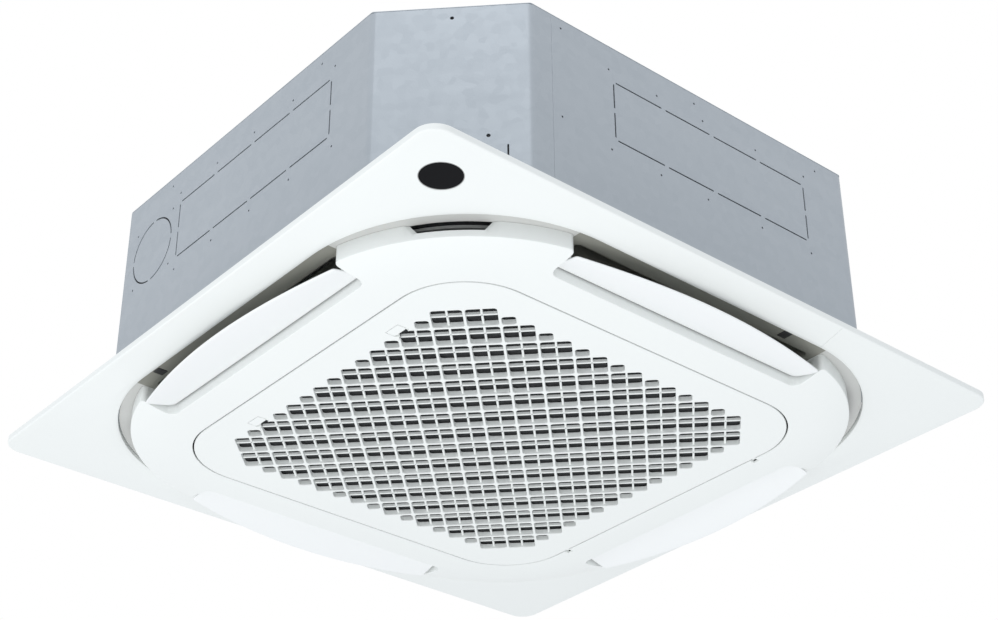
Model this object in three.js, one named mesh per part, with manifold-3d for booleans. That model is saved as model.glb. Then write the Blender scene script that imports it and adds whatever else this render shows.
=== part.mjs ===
// A ceiling cassette air conditioner: a sheet-metal body above the ceiling, with a turbo fan inside a
// ring-shaped heat exchanger, and a moulded panel below it with four outlet vanes around a hinged grille.
// Units are millimetres. z = 0 is the ceiling; the body stands above it and the panel hangs below it.
// -Y is the side of the grille latches, +Y the side of its hinge, and the pipes leave at -X, +Y.
import * as THREE from "three";
import { mergeVertices } from "three/addons/utils/BufferGeometryUtils.js";
import Module from "manifold-3d";

const wasm = await Module();
wasm.setup();

// ---------------------------------------------------------------- driving dimensions

const SEAT = 0.3; // clearance where one piece rests on another

// Body
const BODY = 835; // across the flats
const BODY_CUT = 137; // each corner is cut off this far along both sides
const BODY_BASE = 6; // the body stands on the panel's seal, this far above the ceiling
const BODY_TOP = 303;
const SHEET = 1.2;
const BEND = 8; // outer radius of a bend in the sheet
const LAP = 33; // the front sheet wraps this far onto the next side
const LINING = 12; // foam inside the body

// Duct knockouts: perforated outlines punched in the sheet
const DUCT_W = 345;
const DUCT_H = 89;
const DUCT_Z = 204; // height of the middle of every knockout
const DUCT_SHIFT = 27; // the duct knockout's middle, off the middle of its side
const FRESH_R = 47.5; // round fresh-air knockout
const FRESH_SHIFT = -211;
const SLIT = 2; // width of a punched slit
const SLIT_REST = 7; // sheet left between two slits

// Hangers
const HANGER_W = 90;
const HANGER_H = 62;
const HANGER_REACH = 46;
const HANGER_Z = 24; // height of the hanger's lower edge
const HANGER_SHEET = 3;
const HANGER_SLOT = 12;

// Panel
const PANEL = 950;
const PANEL_CORNER = 28;
const RIM = 9; // depth of the panel's outer edge
const RIM_BEVEL = 2;
const SKIN = 3; // moulded wall
const MOUTH = 848; // opening in the outer frame
const MOUTH_CORNER = 240;
const MOUTH_DROP = 2; // the outer frame dips this far from its edge to the opening
const MOUTH_LIP = 2;
const LOBE = 832; // across the inner frame
const LOBE_CORNER = 260;
const LOBE_DROP = 10; // the inner frame's edge lies this far below the outer edge of the panel
const DISH_DROP = 26; // and the grille this far
const SEAM = 624; // opening of the inner frame
const SEAM_CORNER = 100;
const DECK = 3.4; // plate that closes the channel between the two frames
const DECK_INNER = 330; // half the opening of that plate

// Outlets and vanes
const OUTLET_HALF = 210; // half the length of a vane's recess
const OUTLET_INNER = 362; // from the middle of the panel to the recess's inner edge
const OUTLET_CORNER = 12;
const THROAT_INNER = 345; // the duct through the seal and the drain pan
const THROAT_OUTER = 400;
const THROAT_HALF = 200;
const CORNER_SLOT = 14; // half angle of the slot in a corner, degrees
const CORNER_SLOT_W = 22;
const VANE_END_GAP = 3.5;
const VANE_INNER_GAP = 6.2; // closed, to the recess's inner edge
const VANE_CHORD = 71; // at the middle of the vane
const VANE_BOW = 28; // the outer edge curves back this far at the ends
const VANE_THICK = 3;
const VANE_CAMBER = 3;
const VANE_AXIS_IN = 28; // pivot, outwards from the recess's inner edge
const VANE_AXIS_Z = -15;
const VANE_OPEN = 24; // degrees open as it stands
const VANE_PIN_R = 4;
const PIN_PLAY = 0.4;
const VANE_CORNER = 9;
const VANE_SUNK = 4.9; // closed, its inner edge lies this far inside the grille's face
const VANE_SLOPE = 10; // degrees, closed
const STEPPER_R = 7.5;
const STEPPER_LENGTH = 11;

// Intake grille
const GRILLE_GAP = 2; // seam between the grille and the inner frame
const GRILLE_SKIN = 2.5;
const GRILLE_CORNER_CUT = 2; // the grille's corner radius is smaller than the seam's by this
const PITCH = 42.3; // of the square lattice, which stands at 45 degrees
const RIB = 3.4;
const RIB_DEPTH = 8;
const ROWS = 8; // rows of openings on each side of the field's diagonal
const HINGE_OUT = 7.5; // hinge axis, beyond the grille's edge
const HINGE_UP = 6; // and above its face
const HINGE_X = 190;
const HINGE_ARM_W = 8;
const HINGE_EAR_W = 5;
const HINGE_PIN_R = 1;
const KNUCKLE_R = 2.4;
const LATCH_X = 149.6;
const LATCH_W = 24;
const LATCH_TAB_Y = -277; // the thumb tab shows in the grille's face from here
const LATCH_TAB = 13.5; // this far towards the middle
const LATCH_TRAVEL = 4;
const LATCH_THICK = 3;
const FILTER_GAP = 0.4;
const FILTER_HALF = 280;
const FILTER_THICK = 4;
const FILTER_NET = 0.8;
const FILTER_RIB = 6;

// Receiver window, on the diagonal of the corner at +X, -Y
const WINDOW_R = 27.5;
const WINDOW_AT = 408;
const WINDOW_THICK = 3;

// Drain pan and suction mouth
const PAN_TOP = 60;
const SUCTION = 302; // half the square recess for the bell mouth
const SUCTION_TOP = 36;
const PAN_BORE = 258;
const TROUGH_DEPTH = 14;

// Heat exchanger: a finned loop, open at the pipe corner
const COIL_OUTER = 336;
const COIL_THICK = 44;
const COIL_CORNER = 92;
const COIL_TOP = 286;
const COIL_END = 230; // both legs of the open corner stop here
const TUBE_R = 4.8;
const TUBE_ROWS = 4;

// Turbo fan
const FAN_R = 236;
const FAN_TOP = 262;
const FAN_INLET_R = 178;
const FAN_INLET_Z = 84;
const FAN_SHROUD_Z = 132;
const FAN_WALL = 3;
const BLADES = 7;
const BLADE_ROOT_R = 128;
const BLADE_THICK = 4;
const CUP_R = 90; // the hub is a cup that holds the motor
const CUP_FLOOR = 178;
const BOSS_R = 20;
const BOSS_BASE = 168;
const SHAFT_R = 6;

// Bell mouth
const THROAT_R = 170;
const THROAT_Z = 92;
const BELL_WALL = 2.5;

// Motor
const MOTOR_R = 74;
const MOTOR_BASE = 188;
const MOTOR_TOP = 276;
const MOTOR_FLANGE_R = 92;
const MOUNT_HALF = 70;

// Pipes, drain and control box
const GAS_R = 8;
const LIQUID_R = 5;
const PIPE_SPREAD = 48; // each pipe, from the diagonal of the pipe corner
const PIPE_Z = 150;
const PIPE_REACH = 66; // beyond the body
const WINDOW_W = 150; // window in the sheet behind the pipe cover
const WINDOW_H = 100;
const COVER_MARGIN = 12;
const DRAIN_R = 13;
const DRAIN_Z = 178;
const PUMP_AT = 420; // along the diagonal of the pipe corner
const PUMP_R = 30;
const BOX_HALF = 168;
const BOX_Y = 206;
const BOX_DEPTH = 80;
const BOX_HEIGHT = 46;
const BOX_WALL = 1.5;

// ---------------------------------------------------------------- sizes that follow from these

const bodyHalf = BODY / 2;
const cornerFace = (BODY - BODY_CUT) / Math.SQRT2; // from the middle to a cut corner's face
const rimFace = -RIM;
const face = rimFace - DISH_DROP; // the grille's face
const vaneAxisY = OUTLET_INNER + VANE_AXIS_IN;
const deckTop = -SEAT;
const deckBase = deckTop - DECK;
const grilleHalf = SEAM / 2 - GRILLE_GAP;
const hingeY = grilleHalf + HINGE_OUT;
const hingeZ = face + HINGE_UP;
const latticeTop = face + RIB_DEPTH;
const filterBase = latticeTop + FILTER_GAP;
const QUARTER = Math.PI / 2;
const DEGREE = Math.PI / 180;

// ---------------------------------------------------------------- solids

// A closed geometry as a solid, with its faces turned outwards.
function solid(geometry) {
  const bare = geometry.index ? geometry.toNonIndexed() : geometry.clone();
  bare.deleteAttribute("normal");
  bare.deleteAttribute("uv");
  const merged = mergeVertices(bare, 1e-4);
  const corners = new Uint32Array(merged.index.array);
  const make = () =>
    new wasm.Manifold(
      new wasm.Mesh({
        numProp: 3,
        vertProperties: merged.attributes.position.array,
        triVerts: corners,
      }),
    );
  const made = make();
  if (made.volume() > 0) return made;
  for (let i = 0; i < corners.length; i += 3) {
    [corners[i + 1], corners[i + 2]] = [corners[i + 2], corners[i + 1]];
  }
  return make();
}

function geometryOf(part) {
  const mesh = part.getMesh();
  const places = new Float32Array(mesh.numVert * 3);
  for (let i = 0; i < mesh.numVert; i++) {
    const start = i * mesh.numProp;
    places.set(mesh.vertProperties.subarray(start, start + 3), i * 3);
  }
  const made = new THREE.BufferGeometry();
  made.setAttribute("position", new THREE.BufferAttribute(places, 3));
  made.setIndex(new THREE.BufferAttribute(mesh.triVerts, 1));
  made.computeVertexNormals();
  return made;
}

const join = (...parts) => parts.flat().reduce((a, b) => a.add(b));
const cut = (part, ...tools) => tools.flat().reduce((a, b) => a.subtract(b), part);
const moved = (part, matrix) => solid(geometryOf(part).applyMatrix4(matrix));
const turned = (part, angle) => moved(part, new THREE.Matrix4().makeRotationZ(angle));
const fourTimes = (part) => [0, 1, 2, 3].map((k) => turned(part, k * QUARTER));

function box(x0, x1, y0, y1, z0, z1) {
  const made = new THREE.BoxGeometry(x1 - x0, y1 - y0, z1 - z0);
  return solid(made.translate((x0 + x1) / 2, (y0 + y1) / 2, (z0 + z1) / 2));
}

// A round bar along "x", "y" or "z", from a to b on that axis, at p and q on the next two axes.
function bar(axis, radius, a, b, p = 0, q = 0, sides = 20) {
  const made = new THREE.CylinderGeometry(radius, radius, b - a, sides);
  const middle = (a + b) / 2;
  if (axis === "x") made.rotateZ(-QUARTER).translate(middle, p, q);
  if (axis === "y") made.translate(q, middle, p);
  if (axis === "z") made.rotateX(QUARTER).translate(p, q, middle);
  return solid(made);
}

// A flat outline, given as points, drawn up from z0 to z1.
function prism(points, z0, z1, holes = []) {
  const shape = new THREE.Shape(points.map(([x, y]) => new THREE.Vector2(x, y)));
  shape.holes = holes.map(
    (hole) => new THREE.Path(hole.map(([x, y]) => new THREE.Vector2(x, y))),
  );
  const made = new THREE.ExtrudeGeometry(shape, { depth: z1 - z0, bevelEnabled: false });
  return solid(made.translate(0, 0, z0));
}

// A flat outline of [y, z] points drawn along x.
function alongX(points, x0, x1) {
  const lay = new THREE.Matrix4().set(0, 0, 1, 0, 1, 0, 0, 0, 0, 1, 0, 0, 0, 0, 0, 1);
  return moved(prism(points, x0, x1), lay);
}

// A closed profile of [radius, z] points turned about the z axis.
function revolve(profile, sides = 32) {
  const points = [...profile, profile[0]].map(([r, z]) => new THREE.Vector2(r, z));
  return solid(new THREE.LatheGeometry(points, sides).rotateX(QUARTER));
}

// A polygon with its corners turned into arcs. radii is one radius, or one for each corner.
function filleted(points, radii, steps = 5) {
  const count = points.length;
  return points.flatMap(([x, y], i) => {
    const radius = Array.isArray(radii) ? radii[i] : radii;
    if (!radius) return [[x, y]];
    const corner = new THREE.Vector2(x, y);
    const before = new THREE.Vector2(...points[(i + count - 1) % count]).sub(corner).normalize();
    const after = new THREE.Vector2(...points[(i + 1) % count]).sub(corner).normalize();
    const half = Math.acos(before.dot(after)) / 2;
    const centre = before.clone().add(after).setLength(radius / Math.sin(half)).add(corner);
    const reach = radius / Math.tan(half);
    const start = before.multiplyScalar(reach).add(corner).sub(centre);
    const end = after.multiplyScalar(reach).add(corner).sub(centre);
    const sweep = Math.atan2(start.cross(end), start.dot(end));
    return Array.from({ length: steps + 1 }, (_, k) => {
      const at = start.clone().rotateAround(new THREE.Vector2(), (sweep * k) / steps).add(centre);
      return [at.x, at.y];
    });
  });
}

const rectangle = (x0, x1, y0, y1) => [
  [x0, y0],
  [x1, y0],
  [x1, y1],
  [x0, y1],
];

const square = (half) => rectangle(-half, half, -half, half);

function octagon(half, corner) {
  const side = half - corner;
  return [
    [side, -half],
    [half, -side],
    [half, side],
    [side, half],
    [-side, half],
    [-half, side],
    [-half, -side],
    [-side, -half],
  ];
}

// The body's plan, drawn in from its outside by inset, with the bends of the sheet.
function bodyPlan(inset, steps = 2) {
  const plan = octagon(bodyHalf - inset, BODY_CUT - inset * (2 - Math.SQRT2));
  return filleted(plan, BEND - SHEET, steps);
}

// One ring of a rounded square, with the same number of points whatever its size.
function squareRing(half, radius, z, steps = 10) {
  const middle = half - radius;
  const ring = [];
  for (let k = 0; k < 4; k++) {
    const turn = new THREE.Matrix4().makeRotationZ(k * QUARTER);
    for (let i = 0; i <= steps; i++) {
      const angle = (QUARTER * i) / steps;
      const point = new THREE.Vector3(
        middle + radius * Math.cos(angle),
        middle + radius * Math.sin(angle),
        z,
      );
      ring.push(point.applyMatrix4(turn));
    }
  }
  return ring;
}

// Rings of equal count joined one to the next and the last to the first: a frame of that section.
function frameOf(rings) {
  const count = rings[0].length;
  const corners = rings.flatMap((_, r) =>
    Array.from({ length: count }, (_, i) => {
      const next = (i + 1) % count;
      const above = ((r + 1) % rings.length) * count;
      const here = r * count;
      return [here + i, here + next, above + next, here + i, above + next, above + i];
    }).flat(),
  );
  const made = new THREE.BufferGeometry().setFromPoints(rings.flat());
  return solid(made.setIndex(corners));
}

// ---------------------------------------------------------------- the model

const model = new THREE.Group();

const FINISH = {
  galvanised: { color: 0xb4bcc6, roughness: 0.45, metalness: 0.6 },
  white: { color: 0xf1f4f2, roughness: 0.4, metalness: 0 },
  grey: { color: 0xb7bab5, roughness: 0.6, metalness: 0 },
  black: { color: 0x151617, roughness: 0.35, metalness: 0 },
  foam: { color: 0x3a3c3f, roughness: 0.95, metalness: 0 },
  styrofoam: { color: 0xe6e7e4, roughness: 0.9, metalness: 0 },
  aluminium: { color: 0xc6c9cc, roughness: 0.4, metalness: 0.8 },
  steel: { color: 0x9a9da1, roughness: 0.35, metalness: 0.9 },
  copper: { color: 0xb87350, roughness: 0.35, metalness: 0.9 },
  brass: { color: 0xc2a35a, roughness: 0.35, metalness: 0.9 },
  board: { color: 0x2d6b3c, roughness: 0.6, metalness: 0 },
};

function place(name, part, finish, into = model) {
  const mesh = new THREE.Mesh(geometryOf(part), new THREE.MeshStandardMaterial(FINISH[finish]));
  mesh.name = name;
  into.add(mesh);
  return mesh;
}

const SIDES = ["front", "right", "back", "left"]; // in quarter turns from -Y

// ---------------------------------------------------------------- body

// The sheet along an open path, its thickness to the left of the way it runs.
function bentSheet(path, z0, z1) {
  const inner = path.map(([x, y], i) => {
    const here = new THREE.Vector2(x, y);
    const back = i ? here.clone().sub(new THREE.Vector2(...path[i - 1])).normalize() : null;
    const on = path[i + 1] ? new THREE.Vector2(...path[i + 1]).sub(here).normalize() : back;
    const way = back ? back.clone().add(on).normalize() : on;
    const grow = back ? 1 / Math.sqrt((1 + back.dot(on)) / 2) : 1;
    return [x - way.y * SHEET * grow, y + way.x * SHEET * grow];
  });
  const bends = path.map((_, i) => (i && i < path.length - 1 ? BEND : 0));
  const insideBends = bends.map((r) => (r ? r - SHEET : 0));
  const outline = [...path, ...inner.reverse()];
  return prism(filleted(outline, [...bends, ...insideBends.reverse()], 3), z0, z1);
}

// Slits along the four sides of a duct knockout in the -Y face: four on each long side, two on each end.
function ductSlits() {
  const runs = (from, to, count) => {
    const step = (to - from + SLIT_REST) / count;
    return Array.from({ length: count }, (_, i) => [
      from + i * step,
      from + (i + 1) * step - SLIT_REST,
    ]);
  };
  const left = DUCT_SHIFT - DUCT_W / 2;
  const right = DUCT_SHIFT + DUCT_W / 2;
  const low = DUCT_Z - DUCT_H / 2;
  const high = DUCT_Z + DUCT_H / 2;
  const through = [-bodyHalf - 1, -bodyHalf + SHEET + 1];
  return [
    ...[low, high].flatMap((z) =>
      runs(left + SLIT_REST / 2, right - SLIT_REST / 2, 4).map(([a, b]) =>
        box(a, b, ...through, z - SLIT / 2, z + SLIT / 2),
      ),
    ),
    ...[left, right].flatMap((x) =>
      runs(low + SLIT_REST / 2, high - SLIT_REST / 2, 2).map(([a, b]) =>
        box(x - SLIT / 2, x + SLIT / 2, ...through, a, b),
      ),
    ),
  ];
}

// Four arcs of the round fresh-air knockout in the -Y face.
function freshAirSlits() {
  const outer = FRESH_R + SLIT / 2;
  const inner = FRESH_R - SLIT / 2;
  const rest = SLIT_REST / FRESH_R / 2;
  const steps = 5;
  return [0, 1, 2, 3].map((k) => {
    const angles = Array.from(
      { length: steps + 1 },
      (_, i) => k * QUARTER + rest + ((QUARTER - 2 * rest) * i) / steps,
    );
    const at = (radius) => (a) => [radius * Math.cos(a), radius * Math.sin(a)];
    const arc = prism([...angles.map(at(outer)), ...angles.reverse().map(at(inner))], -1, SHEET + 1);
    const upright = new THREE.Matrix4().makeRotationX(QUARTER);
    const seat = new THREE.Matrix4().makeTranslation(FRESH_SHIFT, -bodyHalf + SHEET, DUCT_Z);
    return moved(arc, seat.multiply(upright));
  });
}

// The window behind the pipe cover, through the cut corner at -X, +Y.
function pipeCorner(part) {
  return turned(part, 3 * QUARTER / 2); // from the +X axis to the diagonal of that corner
}

function body() {
  const h = bodyHalf;
  const s = h - BODY_CUT;
  const top = BODY_TOP - SHEET - SEAT;
  const window = pipeCorner(
    box(
      cornerFace - LINING - 9,
      cornerFace + 5,
      -WINDOW_W / 2,
      WINDOW_W / 2,
      PIPE_Z - WINDOW_H / 2,
      PIPE_Z + WINDOW_H / 2,
    ),
  );
  const tuck = SHEET * Math.SQRT1_2 + SEAT; // a sheet starts clear of the slanted one it meets
  const slits = ductSlits();
  const paths = {
    front: [[-s + tuck, -h], [s, -h], [h, -s], [h, -s + LAP]],
    right: [[h, -s + LAP + SEAT], [h, s], [s, h]],
    back: [[s - tuck, h], [-s, h], [-h, s]],
    left: [[-h, s - tuck], [-h, -s], [-s, -h]],
  };
  for (const side of SIDES) {
    let wall = bentSheet(paths[side], BODY_BASE, top);
    if (side === "front") wall = cut(wall, slits, freshAirSlits());
    if (side === "right") wall = cut(wall, slits.map((slit) => turned(slit, QUARTER)));
    if (side === "left") wall = cut(wall, slits.map((slit) => turned(slit, -QUARTER)));
    if (side === "back") wall = cut(wall, window);
    place("body_" + side, wall, "galvanised");
  }
  place("top_plate", prism(octagon(h, BODY_CUT), BODY_TOP - SHEET, BODY_TOP), "galvanised");

  const outer = bodyPlan(SHEET + SEAT);
  const inner = bodyPlan(SHEET + SEAT + LINING, 1);
  const liningTop = BODY_TOP - SHEET - SEAT - LINING - SEAT;
  const ring = prism(outer, PAN_TOP + SEAT, liningTop, [inner]);
  place("side_lining", cut(ring, window), "foam");
  const hole = filleted(square(MOUNT_HALF + MOTOR_FLANGE_R / 2), MOUNT_HALF, 4);
  place("top_lining", prism(outer, liningTop + SEAT, BODY_TOP - SHEET - SEAT, [hole]), "foam");
}

// Bent angle on each cut corner, with a slotted ear for the threaded rod.
function hanger() {
  const x0 = cornerFace + SEAT;
  const back = box(
    x0,
    x0 + HANGER_SHEET,
    -HANGER_W / 2,
    HANGER_W / 2,
    HANGER_Z,
    HANGER_Z + HANGER_H,
  );
  const slotX = x0 + HANGER_REACH - 2 * HANGER_SLOT;
  const ear = cut(
    prism(
      filleted(rectangle(x0, x0 + HANGER_REACH, -HANGER_W / 2, HANGER_W / 2), [0, 10, 10, 0], 3),
      HANGER_Z,
      HANGER_Z + HANGER_SHEET,
    ),
    box(
      slotX,
      x0 + HANGER_REACH + 1,
      -HANGER_SLOT / 2,
      HANGER_SLOT / 2,
      HANGER_Z - 1,
      HANGER_Z + HANGER_SHEET + 1,
    ),
  );
  return join(back, ear);
}

function hangers() {
  const part = hanger();
  SIDES.forEach((side, k) => {
    const corner = new THREE.Group();
    corner.rotation.z = k * QUARTER - QUARTER / 2;
    place("hanger_" + (k + 1), part, "galvanised", corner);
    model.add(corner);
  });
}

// ---------------------------------------------------------------- fan and motor

function fanAndMotor() {
  const mountBase = MOTOR_TOP + SEAT;
  const mountTop = BODY_TOP - SHEET - SEAT;
  const plate = 3;
  const posts = [-1, 1].flatMap((i) =>
    [-1, 1].map((j) => bar("z", 9, mountBase, mountTop, i * MOUNT_HALF, j * MOUNT_HALF, 8)),
  );
  const bridge = filleted(square(MOUNT_HALF + 12), 20, 3);
  const mount = join(prism(bridge, mountTop - plate, mountTop), posts);
  place("motor_mount", mount, "galvanised");

  const bore = SHAFT_R + SEAT;
  const round = 8;
  const stator = revolve(
    [
      [bore, MOTOR_BASE],
      [bore + 12, MOTOR_BASE],
      [bore + 12, MOTOR_BASE + 5],
      [MOTOR_R - round, MOTOR_BASE + 5],
      [MOTOR_R, MOTOR_BASE + 5 + round],
      [MOTOR_R, MOTOR_TOP - 5],
      [MOTOR_FLANGE_R, MOTOR_TOP - 5],
      [MOTOR_FLANGE_R, MOTOR_TOP],
      [0, MOTOR_TOP],
      [0, MOTOR_TOP - 20],
      [bore, MOTOR_TOP - 20],
    ],
    20,
  );
  const feet = filleted(square(MOUNT_HALF + 12), 20, 3);
  const lugs = prism(feet, MOTOR_TOP - 5, MOTOR_TOP);
  place("fan_motor", join(stator, cut(lugs, bar("z", bore + 8, 0, BODY_TOP))), "steel");

  const shaftBase = BOSS_BASE - 20;
  place("fan_shaft", bar("z", SHAFT_R, shaftBase, MOTOR_TOP - 22, 0, 0, 16), "steel");
  place("turbo_fan", turboFan(bore), "white");
  const washer = revolve(
    [
      [bore, BOSS_BASE - SEAT - 2],
      [BOSS_R - 4, BOSS_BASE - SEAT - 2],
      [BOSS_R - 4, BOSS_BASE - SEAT],
      [bore, BOSS_BASE - SEAT],
    ],
    16,
  );
  place("fan_washer", washer, "steel");
  const nutTop = BOSS_BASE - 2 * SEAT - 2;
  const nut = cut(
    bar("z", BOSS_R - 8, nutTop - 9, nutTop, 0, 0, 6),
    bar("z", bore, nutTop - 10, nutTop + 1, 0, 0, 16),
  );
  place("fan_nut", nut, "steel");
}

// The wheel: a cup-shaped hub and back plate, a flared shroud, and blades swept backwards between them.
function turboFan(bore) {
  const wall = FAN_WALL;
  const hub = revolve([
    [bore, BOSS_BASE],
    [BOSS_R, BOSS_BASE],
    [BOSS_R, CUP_FLOOR - wall],
    [CUP_R - 8, CUP_FLOOR - wall],
    [CUP_R + 16, FAN_TOP - wall - 10],
    [CUP_R + 34, FAN_TOP - wall],
    [FAN_R, FAN_TOP - wall],
    [FAN_R, FAN_TOP],
    [CUP_R + 32, FAN_TOP],
    [CUP_R + 12, FAN_TOP - 10],
    [CUP_R - 11, CUP_FLOOR],
    [BOSS_R, CUP_FLOOR],
    [BOSS_R, MOTOR_BASE - 4],
    [bore, MOTOR_BASE - 4],
  ]);
  const flare = FAN_R - FAN_INLET_R;
  const rise = FAN_SHROUD_Z - FAN_INLET_Z;
  const steps = 3;
  const curve = Array.from({ length: steps + 1 }, (_, i) => {
    const angle = (QUARTER * i) / steps;
    return [
      FAN_INLET_R + flare * (1 - Math.cos(angle)),
      FAN_INLET_Z + rise * Math.sin(angle),
    ];
  });
  const outside = curve.map(([r, z], i) => {
    const angle = (QUARTER * i) / steps;
    const way = new THREE.Vector2(rise * Math.cos(angle), -flare * Math.sin(angle));
    way.setLength(wall);
    return [r + way.x, z + way.y];
  });
  place("fan_shroud", revolve([...curve, ...outside.reverse()]), "white");
  // Each blade's plan is an arc from the root circle to the rim, leaning back 50 degrees at the rim.
  const lean = 52 * DEGREE;
  const bladeSteps = 4;
  const tip = FAN_R - 4;
  const path = Array.from({ length: bladeSteps + 1 }, (_, i) => {
    const t = i / bladeSteps;
    const radius = BLADE_ROOT_R + (tip - BLADE_ROOT_R) * t;
    const angle = -lean * t * (1.15 - 0.15 * t);
    return new THREE.Vector2(radius * Math.cos(angle), radius * Math.sin(angle));
  });
  // The blade's faces lie to the left and right of that arc, and it thins towards the rim.
  const faceOf = (side) =>
    path.map((point, i) => {
      const ahead = path[Math.min(i + 1, bladeSteps)];
      const way = ahead.clone().sub(path[Math.max(i - 1, 0)]).normalize();
      const half = side * (BLADE_THICK / 2) * (1 - 0.5 * (i / bladeSteps));
      return [point.x - way.y * half, point.y + way.x * half];
    });
  const plan = [...faceOf(1), ...faceOf(-1).reverse()];
  const blank = prism(plan, FAN_INLET_Z - 4, FAN_TOP - wall / 2);
  // The blades are welded to the shroud's curve below and stay outside the cup above.
  const allowed = revolve([
    ...curve.map(([r, z]) => [r - SEAT, z + SEAT]),
    [FAN_R - SEAT, FAN_TOP - wall / 2],
    [CUP_R + 33, FAN_TOP - wall / 2],
    [CUP_R + 14, FAN_TOP - 12],
    [CUP_R - 1, CUP_FLOOR + 8],
    [CUP_R - 1, CUP_FLOOR - 30],
    [FAN_INLET_R - 22, FAN_INLET_Z + 40],
    [FAN_INLET_R - 1, FAN_INLET_Z + 20],
  ]);
  const blanks = Array.from({ length: BLADES }, (_, i) =>
    turned(blank, (i * 2 * Math.PI) / BLADES),
  );
  return join(hub, join(blanks).intersect(allowed));
}

function bellMouth() {
  const flangeTop = SUCTION_TOP - SEAT;
  const outer = PAN_BORE - 4;
  const flare = outer - THROAT_R;
  const rise = THROAT_Z - flangeTop;
  const steps = 4;
  const curve = Array.from({ length: steps + 1 }, (_, i) => {
    const angle = (QUARTER * i) / steps;
    return [THROAT_R + flare * (1 - Math.sin(angle)), flangeTop + rise * (1 - Math.cos(angle))];
  });
  const mouth = revolve([
    ...curve.map(([r, z]) => [r, z - BELL_WALL]),
    [THROAT_R, THROAT_Z],
    [THROAT_R + BELL_WALL, THROAT_Z],
    ...curve.map(([r, z]) => [r + BELL_WALL, z]).reverse(),
  ]);
  const plate = cut(
    prism(filleted(square(SUCTION - 2), 30, 3), flangeTop - BELL_WALL, flangeTop),
    bar("z", outer - 1, flangeTop - 10, flangeTop + 10, 0, 0, 32),
  );
  place("bell_mouth", join(plate, mouth), "black");
}

// ---------------------------------------------------------------- heat exchanger, drain and pipes

function heatExchanger() {
  const base = PAN_TOP - TROUGH_DEPTH + SEAT;
  const inner = COIL_OUTER - COIL_THICK;
  const outline = filleted(square(COIL_OUTER), COIL_CORNER, 6);
  const hole = filleted(square(inner), COIL_CORNER - COIL_THICK, 6);
  const corner = box(-COIL_OUTER - 1, -COIL_END, COIL_END, COIL_OUTER + 1, 0, BODY_TOP);
  const loop = cut(prism(outline, base, COIL_TOP, [hole]), corner);
  place("heat_exchanger", loop, "aluminium");

  // A tube sheet with return bends closes each end of the loop; one is the mirror of the other.
  const plate = 2;
  const y0 = COIL_END + SEAT;
  const sheet = box(-COIL_OUTER, -inner, y0, y0 + plate, base, COIL_TOP);
  const middle = -COIL_OUTER + COIL_THICK / 2;
  const bendR = COIL_THICK / 4;
  const step = (COIL_TOP - base) / TUBE_ROWS;
  const bends = Array.from({ length: TUBE_ROWS }, (_, i) => {
    const z = base + step * (i + 0.5);
    const arc = new THREE.TorusGeometry(bendR, TUBE_R, 6, 10);
    const ring = solid(arc.translate(middle, y0 + plate, z));
    return ring.intersect(box(-COIL_OUTER, -inner, y0 + 0.5, y0 + plate + 2 * bendR, z - 9, z + 9));
  });
  const end = join(sheet, bends);
  place("tube_sheet_left", end, "copper");
  const mirror = new THREE.Matrix4().set(0, -1, 0, 0, -1, 0, 0, 0, 0, 0, 1, 0, 0, 0, 0, 1);
  place("tube_sheet_back", moved(end, mirror), "copper");
}

function drainPan() {
  const base = BODY_BASE + SEAT;
  const blank = prism(bodyPlan(SHEET + SEAT), base, PAN_TOP);
  const throats = fourTimes(
    prism(
      filleted(rectangle(-THROAT_HALF, THROAT_HALF, -THROAT_OUTER, -THROAT_INNER), 15, 3),
      base - 1,
      PAN_TOP + 1,
    ),
  );
  const recess = prism(filleted(square(SUCTION), 32, 3), base - 1, SUCTION_TOP);
  const bore = bar("z", PAN_BORE, base - 1, PAN_TOP + 1, 0, 0, 32);
  const floor = PAN_TOP - TROUGH_DEPTH;
  const trough = frameOf([
    squareRing(COIL_OUTER + SEAT + 2, COIL_CORNER, floor, 4),
    squareRing(COIL_OUTER + SEAT + 2, COIL_CORNER, PAN_TOP + 1, 4),
    squareRing(COIL_OUTER - COIL_THICK - 4, COIL_CORNER - COIL_THICK, PAN_TOP + 1, 4),
    squareRing(COIL_OUTER - COIL_THICK - 4, COIL_CORNER - COIL_THICK, floor, 4),
  ]);
  const sump = pipeCorner(box(PUMP_AT - 38, PUMP_AT + 38, -45, 45, floor, PAN_TOP + 1));
  place("drain_pan", cut(blank, throats, recess, bore, trough, sump), "styrofoam");
}

// Places a piece drawn round the +X axis onto the diagonal of the pipe corner.
function atPipeCorner() {
  const corner = new THREE.Group();
  corner.rotation.z = (3 * QUARTER) / 2;
  model.add(corner);
  return corner;
}

function pipeOf(radius, points, sides, steps) {
  const through = points.map((point) => new THREE.Vector3(...point));
  const path = new THREE.CatmullRomCurve3(through, false, "catmullrom", 0.2);
  const ring = new THREE.Shape();
  ring.absarc(0, 0, radius, 0, 2 * Math.PI);
  const made = new THREE.ExtrudeGeometry(ring, {
    steps,
    curveSegments: sides / 2,
    extrudePath: path,
  });
  return solid(made);
}

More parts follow.
